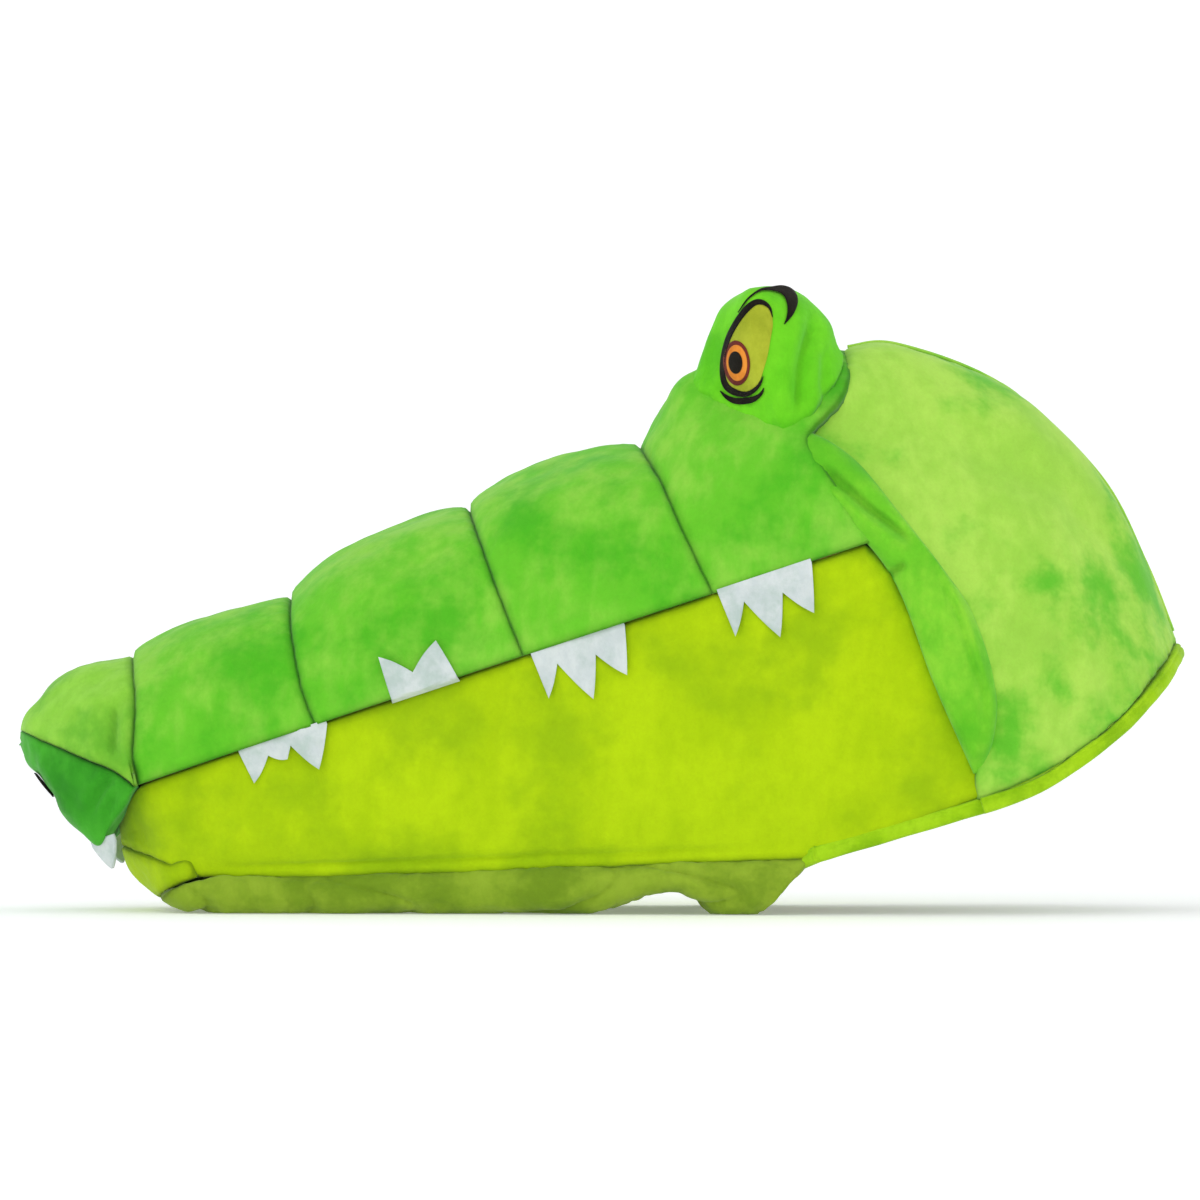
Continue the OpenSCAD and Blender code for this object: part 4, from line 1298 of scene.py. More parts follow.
    def build_underside(self, dress: "Wardrobe") -> None:
        """The padded, creased underside that the puppet rests on: billows are the sharp
        valleys of two random fields' absolute values."""
        u = np.linspace(0, 1, 190)[:, None]
        t = np.linspace(-1, 1, 131)[None]
        v = np.sign(t) * (1 - (1 - np.abs(t)) ** 1.5)
        grid = STAND.lay(self.belly(u, v))
        billow = np.abs(Lumps(81, 46.0, 9).at(grid * np.array([1, 0.6, 1.6])))
        fine = np.abs(Lumps(82, 17.0, 12).at(grid))
        wrinkle = 3.0 * np.minimum(billow * 1.6, 1) ** 0.6 + 0.7 * np.minimum(fine * 1.4, 1) - 2.4
        panel = Panel("underside_plush", grid, (-150, 0, -30),
                      {Edge.FIRST_COL: Seam(0.8, 3.0, 0.4), Edge.LAST_COL: Seam(0.8, 3.0, 0.4),
                       Edge.FIRST_ROW: Seam(0.8, 3.0, 0.3)}, (), 3.0, 0.8, 40.0, 83,
                      extra=wrinkle)
        dress.piece(panel.build(), "jaw", "jaw_underside", finish=dress.underside, pad=0.6)


# ---------------------------------------------------------------- bindings


@dataclass
class Bindings:
    """The folded tape round the neck opening, in four runs."""

    jaw: Jaw
    crown: Crown
    high: float = 6.6
    thick: float = 5.4

    def tape(self, name: str, path: Array, up: Array) -> bpy.types.Object:
        """A tape carried along a path: a squarish oval section with a stitch line pressed
        in near its top on both faces, rippled along its length.

        Args:
            name: the piece's name.
            path: n by 3 points, the middle of the tape.
            up: n by 3 rough upward directions.

        Returns:
            The tape.
        """
        a = np.linspace(0, math.tau, 40, endpoint=False)
        across = signed(np.cos(a), 0.7) * self.thick / 2
        tall = signed(np.sin(a), 0.7) * self.high / 2
        dip = 0.55 * bell((tall - 0.24 * self.high) / 0.5)
        run = np.concatenate([[0], np.cumsum(np.linalg.norm(np.diff(path, axis=0), axis=1))])
        ripple = 1 + 0.10 * Lumps(91, 13.0).at(path)[:, None] + 0.03 * np.sin(run * 2.1)[:, None]
        profile = np.stack([(across - dip * np.sign(np.cos(a)))[None] * ripple,
                            tall[None] * (1 + 0.06 * Lumps(92, 21.0).at(path)[:, None])], -1)
        return ring_piece(name, swept(path, up, profile))

    def build(self, dress: "Wardrobe") -> None:
        """All four runs.

        Args:
            dress: the finishes.
        """
        a = np.linspace(-90, 90, 240)
        path = self.crown.neck_edge(np.abs(a)) * np.stack([0 * a + 1, np.sign(a), 0 * a + 1], -1)
        path += np.stack([0 * a - 1.4, -np.sign(a) * 2.1 * np.abs(np.sin(np.radians(a))),
                          0 * a - 3.3], -1)
        path[:, 2] += 0.6 * Lumps(93, 60.0).at(path)
        up = np.tile([0.0, 0.0, 1.0], (len(a), 1))
        hem = self.tape("crown_hem_tape", path, up)
        dress.piece(hem, "head", "crown_hem", finish=dress.binding)
        for side in (LEFT, RIGHT):
            self.build_gusset(side, dress)
        self.build_lip(dress)

    def build_gusset(self, side: int, dress: "Wardrobe") -> None:
        """The run under the fold of the cheek."""
        word = WORDS[side]
        w = np.linspace(0.0, 1.03, 60)[:, None]
        path = self.jaw.cheek(w, np.ones_like(w))[:, 0]
        path[:, 1] = -(path[:, 1] + 2.0) * side
        path[:, 2] -= self.high / 2 - 0.3
        obj = self.tape(f"gusset_hem_{word}_tape", path, np.tile([0.0, 0, 1], (len(path), 1)))
        bend(obj)
        dress.piece(obj, None, f"gusset_hem_{word}", finish=dress.binding)

    def build_lip(self, dress: "Wardrobe") -> None:
        """The sagging run along the jaw's rear edge, doubled as the fabric folds there."""
        v = np.linspace(-1, 1, 180)
        x = self.jaw.rear(v) + 3.0
        y = v * self.jaw.seam_half(np.full_like(v, self.jaw.corner_x))
        z = mix(2.5, 21.6, v * v) + 3.4
        path = STAND.lay(np.stack([x, y, z], -1))
        up = np.stack([0.3 + 0 * v, 0 * v, 0.95 + 0 * v], -1)
        hem = self.tape("lip_hem_tape", path, up)
        dress.piece(hem, "jaw", "lip_hem", finish=dress.binding)


# ---------------------------------------------------------------- teeth and nostrils


@dataclass
class Teeth:
    """Flat felt teeth. Outlines hold (station, height) from each group's front."""

    snout: Snout
    thick: float = 1.4
    trio: Curve = ((0.0, -0.4), (1.2, -19.0), (9.0, -6.6), (18.4, -25.0), (25.0, -8.0),
                   (34.5, -20.0), (40.0, -0.4))
    front_trio: Curve = ((-36.0, -0.4), (-34.0, -14.0), (-25.0, -5.0), (-18.0, -9.0),
                         (-15.0, -4.0), (-7.0, -17.0), (2.0, -0.4))
    pair: Curve = ((0.0, -0.6), (0.6, 19.0), (12.0, 8.6), (25.0, 18.0), (29.0, -0.6))
    # the two teeth under the nose: station and distance out, turn, half width, length, root
    front_at: tuple[float, float] = (-326.2, 42.0)
    front_turn: float = math.radians(46)
    front_half: float = 7.2
    front_length: float = 10.5
    front_root: float = -15.5
    # the nostrils: distance out and height, half sizes, and the nose's face by height
    nostril_at: tuple[float, float] = (17.0, 12.5)
    nostril_half: tuple[float, float] = (7.0, 6.0)
    nose_face: Curve = ((-10.4, -334.9), (0.1, -338.9), (7.8, -340.3), (17.5, -343.8),
                        (25.6, -347.9))

    def cut(self, name: str, outline: Curve, start: float, off: float, root: float,
            side: int) -> bpy.types.Object:
        """A group of teeth cut from one strip: straight sides between its points, bowed a
        little outwards, between the root line and the outline.

        Args:
            name: the piece's name.
            outline: the teeth's edge.
            start: station of the outline's zero.
            off: how far the felt's inner face stands from the lip, in mm.
            root: height of the hidden root line.
            side: LEFT or RIGHT.

        Returns:
            The felt.
        """
        xs, zs = np.asarray(outline, float).T
        x = np.unique(np.concatenate([np.linspace(xs[0], xs[-1], 90), xs]))
        i = np.clip(np.searchsorted(xs, x, side="right") - 1, 0, len(xs) - 2)
        t = (x - xs[i]) / (xs[i + 1] - xs[i])
        bow = 0.9 * np.sin(np.pi * t) * np.sign(np.mean(zs) - root)
        tip = np.interp(x, xs, zs) + bow * (xs[i + 1] - xs[i] > 3)
        down = np.linspace(0, 1, 14)[None]
        z = mix(root, tip[:, None], down)
        wave = 0.35 * Lumps(101, 16.0).at(np.stack(np.broadcast_arrays(x[:, None], 0, z), -1))
        station = np.broadcast_to(start + x[:, None], z.shape)
        lift = off if off < 0 else mix(-1.0, off, smooth((z + 0.9) / 1.8))
        y = self.snout.lip(station) + lift + wave
        outer, inner = (np.stack([station, (y + d) * side, z], -1) for d in (self.thick, 0.0))
        obj = slab(name, outer, inner)
        soften = obj.modifiers.new("cut edge", "BEVEL")
        soften.width, soften.segments, soften.limit_method = 0.3 * MM, 2, "ANGLE"
        return obj

    def build(self, dress: "Wardrobe") -> None:
        """All the teeth and the nostril marks.

        Args:
            dress: the finishes.
        """
        g = self.snout.grooves
        for side, word in WORDS.items():
            groups = (("upper_teeth_front", self.front_trio, g[1], -0.9, 1.5, "head"),
                      ("upper_teeth_middle", self.trio, g[2] + 4, -0.9, 1.5, "head"),
                      ("upper_teeth_rear", self.trio, g[3] + 8, -0.9, 1.5, "head"),
                      ("lower_teeth", self.pair, g[1] + 30, 3.4, -0.9, "jaw"))
            for name, outline, start, off, root, body in groups:
                felt = self.cut(f"{name}_{word}_felt", outline, start, off, root, side)
                dress.piece(felt, body, f"{name}_{word}", finish=dress.felt)
            self.build_nostril(side, dress)
        self.build_front(dress)

    def build_front(self, dress: "Wardrobe") -> None:
        """The two teeth under the nose's lip, one on each rounded corner."""
        x = np.linspace(-1, 1, 41)[:, None]
        down = np.linspace(0, 1, 16)[None]
        reach = self.front_length * (1 - np.abs(x) ** 1.25) ** 0.9 + 0.4
        sheets = []
        for side in (LEFT, RIGHT):
            c, s = math.cos(self.front_turn), math.sin(self.front_turn)
            mid = np.array([self.front_at[0], side * self.front_at[1]])
            plan = mid + (x * self.front_half)[..., None] * np.array([c, side * s])
            out = np.array([-s, side * c])
            z = self.front_root - down * (reach + 2.5) + 0 * x
            for d in (self.thick, 0.0):
                flat = plan + out * d
                sheets.append(np.stack([flat[..., 0] + 0 * z, flat[..., 1] + 0 * z, z], -1))
        one = slab_faces(*z.shape)
        points = np.concatenate([sheet.reshape(-1, 3) for sheet in sheets])
        faces = np.concatenate([one, one + 2 * z.size])
        obj = new_piece("front_teeth_felt", points, faces.tolist())
        dress.piece(obj, "head", "front_teeth", finish=dress.felt)

    def build_nostril(self, side: int, dress: "Wardrobe") -> None:
        """A flat black mark on the nose's front: a lens of rings, nearly flat.

        Args:
            side: LEFT or RIGHT.
            dress: the finishes.
        """
        ring = np.linspace(0, math.tau, 48, endpoint=False)[None]
        r = np.concatenate([np.linspace(0.02, 1, 12), np.linspace(0.985, 0.02, 6)])[:, None]
        top = np.concatenate([np.ones(12), np.zeros(6)])[:, None]
        y = side * (self.nostril_at[0] + self.nostril_half[0] * r * np.cos(ring))
        up = self.nostril_at[1] + self.nostril_half[1] * r * np.sin(ring)
        x = np.interp(up, *zip(*self.nose_face)) - 1.7 - 0.9 * top * (1 - 0.4 * r**4)
        rings = np.stack(np.broadcast_arrays(x, y, up), -1)
        mark = ring_piece(f"nostril_{WORDS[side]}_felt", rings)
        dress.piece(mark, "head", f"nostril_{WORDS[side]}", finish=dress.black)


# ---------------------------------------------------------------- inside the mouth


@dataclass
class Mouth:
    """Fleece linings, hand pockets, tongue and fibre filling."""

    snout: Snout
    jaw: Jaw
    # faces of the boards that look away from the mouth
    board_top: float = 4.4
    board_bottom: float = -6.6
    pocket_mouth: float = -24.0
    pocket_wall: float = 1.5

    def plate(self, name: str, low: float, high: float, front: float, rear: float,
              inset: float, upper: bool) -> bpy.types.Object:
        """A thin pad that fills the skin's plan: rings of a rounded outline, its rim a half
        circle. On the jaw the rim stands up to close the mouth's line.

        Args:
            name: the piece's name.
            low: lower face's height.
            high: upper face's height.
            front: station of the front.
            rear: station of the rear.
            inset: gap to the skin's outer face.
            upper: whether it lines the snout or the jaw.

        Returns:
            The pad.
        """
        a = np.linspace(0, math.tau, 200, endpoint=False)
        x = mix(front, rear, 0.5 + 0.5 * signed(np.cos(a), 0.35))
        half = self.snout.lip(x) if upper else self.jaw.width(x)
        y = signed(np.sin(a), 0.5) * (half - inset)
        middle = np.array([(front + rear) / 2, 0.0])
        rim = np.stack([x, y], -1)
        thick = (high - low) / 2
        turn = np.linspace(0, math.pi, 9)
        share = np.concatenate([np.linspace(0.02, 0.97, 22), np.full(7, 1.0),
                                np.linspace(0.97, 0.02, 22)])
        lift = np.concatenate([np.full(22, thick), thick * np.cos(turn[1:-1]),
                               np.full(22, -thick)])
        edge = np.concatenate([np.zeros(22), np.sin(turn[1:-1]) * thick, np.zeros(22)])
        out = (rim - middle) / np.linalg.norm(rim - middle, axis=1, keepdims=True)
        flat = middle + (rim - middle) * share[:, None, None] + out * edge[:, None, None]
        z = (low + high) / 2 + lift[:, None] + 0 * a
        rim_up = 0.0 if upper else 2.0
        z = z + rim_up * smooth((share[:, None] - 0.84) / 0.1) * (lift[:, None] > -0.9 * thick)
        points = np.concatenate([flat, z[..., None]], -1)
        points[..., 2] += 0.35 * Lumps(111, 24.0).at(points * np.array([1, 1, 0]))
        return ring_piece(name, points)

    def pocket(self, name: str, length: float, wide: float, tall: float, base: float,
               up: int) -> bpy.types.Object:
        """A sewn sleeve, open to the rear: a squashed half-round tunnel that sags in the
        middle, with a closed front and a turned-back mouth.

        Args:
            name: the piece's name.
            length: from the closed end to the mouth.
            wide: width on the board.
            tall: height off the board.
            base: height of the board's face.
            up: 1 on a face that looks up, -1 on one that looks down.

        Returns:
            The sleeve.
        """
        wall = self.pocket_wall
        a = np.linspace(0, math.tau, 96, endpoint=False)
        t = np.concatenate([np.linspace(0.0, 1.0, 50), [1.008, 1.0], np.linspace(0.99, 0.05, 40)])
        inner = np.concatenate([np.zeros(50), [0.5, 1.0], np.ones(40)])[:, None]
        close = (1 - np.clip(1 - t / 0.16, 0, 1)[:, None] ** 2.2) ** 0.5
        half = (wide / 2 - wall * inner) * (0.35 + 0.65 * close)
        rise = (tall / 2 - wall * inner) * np.maximum(close, 0.12)
        y = signed(np.cos(a), 0.55) * half
        z = tall / 2 + signed(np.sin(a), 0.6) * rise
        z = z - (tall / 2 - wall * inner) * (1 - close) * 0.6
        sag = 2.2 * bell((t[:, None] - 0.6) / 0.3) * np.maximum(np.sin(a), 0)
        x = self.pocket_mouth - length * (1 - t[:, None]) + 0 * y
        points = np.stack([x, y, base + up * (z - sag + 0.15)], -1)
        return ring_piece(name, points)

    def filling(self, name: str, low: Array, high: Array, half: Array, x: Array,
                seed: int) -> bpy.types.Object:
        """A body of fibre: squarish rings drawn in at both ends, with tufts.

        Args:
            name: the piece's name.
            low: height of its lower face at each station.
            high: height of its upper face.
            half: half its width.
            x: the stations.
            seed: picks the tufts.

        Returns:
            The body.
        """
        a = np.linspace(0, math.tau, 90, endpoint=False)
        s = np.linspace(0, 1, len(x))
        end = (1 - np.abs(2 * s - 1) ** 6) ** 0.5
        y = signed(np.cos(a), 0.7) * (half * np.maximum(end, 0.3))[:, None]
        z = (low + high)[:, None] / 2 + signed(np.sin(a), 0.7) * (
            (high - low) / 2 * np.maximum(end, 0.3))[:, None]
        points = np.stack(np.broadcast_arrays(x[:, None], y, z), -1)
        middle = np.stack([x, 0 * x, (low + high) / 2], -1)[:, None]
        tuft = 1 - 0.05 * np.abs(Lumps(seed, 17.0).at(points))[..., None]
        return ring_piece(name, middle + (points - middle) * tuft)

    def build(self, dress: "Wardrobe") -> None:
        """Everything inside.

        Args:
            dress: the finishes.
        """
        g = self.snout.grooves
        palate = self.plate("palate_fleece", 0.1, 2.4, -306, 6, 6.0, True)
        dress.piece(palate, "head", "palate_lining", finish=dress.fleece)
        floor = self.plate("mouth_floor_fleece", -4.2, -2.2, self.jaw.chin + 2.6, -7, 5.0, False)
        dress.piece(floor, "jaw", "mouth_floor_lining", finish=dress.fleece)
        tongue = self.plate_tongue()
        dress.piece(tongue, "jaw", "tongue", finish=dress.tongue)
        up, down = self.board_top, self.board_bottom
        finger = self.pocket("finger_pocket_sleeve", 104, 92, 37.5, up, 1)
        dress.piece(finger, "head", "finger_pocket", finish=dress.fleece)
        thumb = self.pocket("thumb_pocket_sleeve", 84, 62, 33.5, down, -1)
        dress.piece(thumb, "jaw", "thumb_pocket", finish=dress.fleece)
        x = np.linspace(g[1] + 12, g[0] - 4, 50)
        fill = self.filling("snout_filling", np.full_like(x, up + 0.4), self.snout.top(x) - 11,
                            self.snout.half_width(x) * 0.86 - 6, x, 121)
        dress.piece(fill, "head", "snout_stuffing", finish=dress.fibre, pad=0.7)
        x = np.linspace(g[1] + 12, self.jaw.chin + 24, 50)
        low = self.jaw.table(x) + 15.5
        fill = self.filling("jaw_filling", low, np.full_like(x, down - 0.4),
                            self.jaw.width(x) - 11, x, 122)
        dress.piece(fill, "jaw", "jaw_stuffing", finish=dress.fibre, pad=0.7)
        for node in ("upper_mouth_board", "lower_mouth_board"):
            dress.carried(node, dress.board)

    def plate_tongue(self) -> bpy.types.Object:
        """The tongue: a flat felt tab with a round tip, curling up a little at it."""
        a = np.linspace(0, math.tau, 120, endpoint=False)
        tip, rear, half = self.snout.grooves[0] + 40, -60.0, 24.0
        c, s = np.cos(a), np.sin(a)
        x = np.where(c < 0, tip + half + half * c, mix(tip + half, rear, np.abs(c) ** 0.25))
        y = half * signed(s, np.where(c < 0, 1.0, 0.3))
        rim = np.stack([x, y], -1)
        middle = np.array([(tip + rear) / 2, 0])
        share = np.concatenate([np.linspace(0.02, 1, 24), np.linspace(1, 0.02, 24)])[:, None, None]
        face = np.concatenate([np.full(24, 1.3), np.zeros(24)])[:, None]
        flat = middle + (rim - middle) * share
        z = -2.0 + face + 0 * flat[..., 0]
        points = np.concatenate([flat, z[..., None]], -1)
        return ring_piece("tongue_flap", points)


# ---------------------------------------------------------------- finishes


def linear(color: tuple[int, int, int]) -> tuple[float, float, float, float]:
    """A display colour of 0 to 255 as the linear light a shader takes."""
    c = np.asarray(color, float) / 255
    low, high = c / 12.92, ((c + 0.055) / 1.055) ** 2.4
    return (*np.where(c <= 0.04045, low, high).tolist(), 1.0)


class Tree:
    """A node tree with a few short ways to add to it."""

    def __init__(self, tree: bpy.types.NodeTree) -> None:
        """Args:
            tree: the tree to add nodes to.
        """
        self.tree = tree

    def add(self, kind: str, values: dict | None = None, **settings: object) -> bpy.types.Node:
        """A new node with its settings, and its inputs set or linked by name or index."""
        node = self.tree.nodes.new(kind)
        for key, value in settings.items():
            setattr(node, key, value)
        for key, value in (values or {}).items():
            if isinstance(value, bpy.types.NodeSocket):
                self.tree.links.new(value, node.inputs[key])
            else:
                node.inputs[key].default_value = value
        return node

    def blend(self, share: object, a: object, b: object, way: str = "MIX") -> bpy.types.NodeSocket:
        """The mix of two colours."""
        node = self.add("ShaderNodeMix", {0: share, 6: a, 7: b}, data_type="RGBA",
                        blend_type=way)
        return node.outputs[2]

    def ramp(self, value: object, low: float, high: float, out_low: float = 0.0,
             out_high: float = 1.0) -> bpy.types.NodeSocket:
        """A value moved from one range to another, held at its ends."""
        node = self.add("ShaderNodeMapRange", {0: value, 1: low, 2: high, 3: out_low,
                                               4: out_high}, interpolation_type="SMOOTHSTEP")
        return node.outputs[0]

    def math(self, way: str, a: object, b: object = 0.0) -> bpy.types.NodeSocket:
        """One sum, product or other step on two values."""
        return self.add("ShaderNodeMath", {0: a, 1: b}, operation=way).outputs[0]

    def noise(self, where: object, scale: object, detail: float = 3.0,
              rough: float = 0.55) -> bpy.types.NodeSocket:
        """Smooth noise between 0 and 1."""
        return self.add("ShaderNodeTexNoise", {"Vector": where, "Scale": scale, "Detail": detail,
                                               "Roughness": rough}).outputs[0]


def group(name: str, takes: dict[str, tuple[str, object]], gives: dict[str, str]) -> tuple:
    """A new shader node group with named sockets.

    Args:
        name: the group's name.
        takes: input names, each with its socket type and first value.
        gives: output names, each with its socket type.

    Returns:
        The group, its Tree, its input node and its output node.
    """
    made = bpy.data.node_groups.new(name, "ShaderNodeTree")
    for label, (kind, value) in takes.items():
        socket = made.interface.new_socket(name=label, in_out="INPUT", socket_type=kind)
        if value is not None:
            socket.default_value = value
    for label, kind in gives.items():
        made.interface.new_socket(name=label, in_out="OUTPUT", socket_type=kind)
    tree = Tree(made)
    return made, tree, tree.add("NodeGroupInput"), tree.add("NodeGroupOutput")


FLOAT, COLOR, VECTOR = "NodeSocketFloat", "NodeSocketColor", "NodeSocketVector"


class Effects:
    """The node groups that the finishes share."""

    def __init__(self) -> None:
        """Builds each group once."""
        self.dye_and_shade = self.make_dye_and_shade()
        self.pile = self.make_pile()
        # painted shade and dark thread near seams and in creases
        self.stitch = self.make_seam_shade()

    def make_dye_and_shade(self) -> bpy.types.NodeTree:
        """Brushed nap: broad patches between a light and a mid tone where the pile lies
        one way or the other, with fewer patches of a deep tone, and more of the deep tone along a
        slope in space as painted shade."""
        made, t, take, give = group(
            "nap dye", {"Vector": (VECTOR, None), "Light": (COLOR, (1, 1, 1, 1)),
                        "Mid": (COLOR, (1, 1, 1, 1)), "Deep": (COLOR, (0, 0, 0, 1)),
                        "Patches": (FLOAT, 26.0), "Painted Shade Slope": (VECTOR, (0, 0, 0)),
                        "Painted Shade Offset": (FLOAT, 0.0)}, {"Color": COLOR})
        where = take.outputs["Vector"]
        broad = t.noise(where, take.outputs["Patches"], 3.0, 0.6)
        streaky = t.add("ShaderNodeMapping", {"Vector": where, "Scale": (1.0, 1.0, 0.42),
                                              "Rotation": (0.0, 0.32, 0.0)})
        fine = t.noise(streaky.outputs[0], t.math("MULTIPLY", take.outputs["Patches"], 5.5), 4.0,
                       0.6)
        both = t.math("ADD", t.math("MULTIPLY", broad, 0.62), t.math("MULTIPLY", fine, 0.38))
        tone = t.blend(t.ramp(both, 0.40, 0.60), take.outputs["Mid"], take.outputs["Light"])
        # painted shade: the deep tone is pushed in along a slope in object space, plus an offset
        painted_shade_slope = t.add("ShaderNodeVectorMath", {0: where, 1: take.outputs["Painted Shade Slope"]},
                      operation="DOT_PRODUCT").outputs["Value"]
        painted_shade_slope = t.math("ADD", painted_shade_slope, take.outputs["Painted Shade Offset"])
        deep_patch_and_shade = t.noise(where, t.math("MULTIPLY", take.outputs["Patches"], 0.8), 5.0, 0.62)
        deep_patch_and_shade = t.ramp(t.math("SUBTRACT", deep_patch_and_shade, painted_shade_slope), 0.36, 0.56, 0.85, 0.0)
        t.tree.links.new(t.blend(deep_patch_and_shade, tone, take.outputs["Deep"]), give.inputs["Color"])
        return made

    def make_pile(self) -> bpy.types.NodeTree:
        """Short pile: fine fibre grain over small brushed tufts, as a height and as a
        speckle of light and shade round one."""
        made, t, take, give = group(
            "short pile", {"Vector": (VECTOR, None), "Grain": (FLOAT, 900.0),
                           "Speckle": (FLOAT, 0.12)}, {"Height": FLOAT, "Shade": FLOAT})
        where = take.outputs["Vector"]
        grain = t.noise(where, take.outputs["Grain"], 2.0, 0.7)
        tuft = t.noise(where, t.math("MULTIPLY", take.outputs["Grain"], 0.22), 3.0, 0.6)
        height = t.math("ADD", t.math("MULTIPLY", grain, 0.45), t.math("MULTIPLY", tuft, 0.55))
        t.tree.links.new(height, give.inputs["Height"])
        swing = t.math("MULTIPLY", t.math("SUBTRACT", height, 0.5), take.outputs["Speckle"])
        t.tree.links.new(t.math("ADD", t.math("MULTIPLY", swing, 2.0), 1.0), give.inputs["Shade"])
        return made

    def make_seam_shade(self) -> bpy.types.NodeTree:
        """Painted shade and dark thread in a seam or crease: the colour deepens over the last
        few millimetres, and a thin line at the stitches is darkest."""
        made, t, take, give = group(
            "seam shade", {"Color": (COLOR, (1, 1, 1, 1)), "Near": (FLOAT, FAR),
                           "Depth": (FLOAT, 0.55)}, {"Color": COLOR})
        near = take.outputs["Near"]
        # painted shade over the last 4.5 mm, and a thin line of dark thread and painted shade at
        # the stitches
        soft = t.math("MULTIPLY", t.ramp(near, 0.0, 4.5, 1.0, 0.0), 0.45)
        line = t.math("MULTIPLY", t.ramp(near, 0.2, 1.6, 1.0, 0.0), 0.55)
        share = t.math("MULTIPLY", t.math("ADD", soft, line), take.outputs["Depth"])
        dark = t.blend(1.0, take.outputs["Color"], (0.16, 0.22, 0.10, 1.0), "MULTIPLY")
        t.tree.links.new(t.blend(share, take.outputs["Color"], dark), give.inputs["Color"])
        return made


@dataclass(frozen=True)
class Cloth:
    """A pile or felt finish. Colours are display values from 0 to 255."""

    slot: str
    light: tuple[int, int, int]
    mid: tuple[int, int, int]
    deep: tuple[int, int, int]
    patches: float = 26.0
    grain: float = 900.0
    speckle: float = 0.14
    bump: float = 0.28
    sheen: float = 0.12
    # how strongly the painted seam and crease shade darkens the colour
    seams: float = 0.6
    roughness: float = 0.92
    # a slope in object space and an offset that push the deep tone in as painted shade
    painted_shade_slope: tuple[float, float, float] = (0.0, 0.0, 0.0)
    painted_shade_offset: float = 0.0

    def material(self, effects: Effects) -> bpy.types.Material:
        """The finish as a material, on Object coordinates and the seam attribute."""
        made = bpy.data.materials.new(self.slot)
        made.use_nodes = True
        t = Tree(made.node_tree)
        t.tree.nodes.clear()
        where = t.add("ShaderNodeTexCoord").outputs["Object"]
        # distance from the stitching, shortened in creases: it drives the painted seam and crease
        # shade
        near = t.add("ShaderNodeAttribute", attribute_name="seam").outputs["Fac"]
        dye_and_shade = t.add("ShaderNodeGroup", {
            "Vector": where, "Light": linear(self.light), "Mid": linear(self.mid),
            "Deep": linear(self.deep), "Patches": self.patches, "Painted Shade Slope": self.painted_shade_slope,
            "Painted Shade Offset": self.painted_shade_offset}, node_tree=effects.dye_and_shade)
        pile = t.add("ShaderNodeGroup", {"Vector": where, "Grain": self.grain,
                                         "Speckle": self.speckle}, node_tree=effects.pile)
        # painted shade and dark thread at seams and creases
        stitch = t.add("ShaderNodeGroup", {"Color": dye_and_shade.outputs[0], "Near": near,
                                           "Depth": self.seams}, node_tree=effects.stitch)
        shade = pile.outputs["Shade"]
        grey = t.add("ShaderNodeCombineColor", {0: shade, 1: shade, 2: shade}).outputs[0]
        color = t.blend(1.0, stitch.outputs[0], grey, "MULTIPLY")
        bump = t.add("ShaderNodeBump", {"Strength": self.bump, "Distance": 0.0012,
                                        "Height": pile.outputs["Height"]})
        skin = t.add("ShaderNodeBsdfPrincipled", {
            "Base Color": color, "Normal": bump.outputs[0], "Roughness": self.roughness,
            "Sheen Weight": self.sheen, "Sheen Roughness": 0.45,
            "Specular IOR Level": 0.12})
        t.add("ShaderNodeOutputMaterial", {"Surface": skin.outputs[0]})
        return made


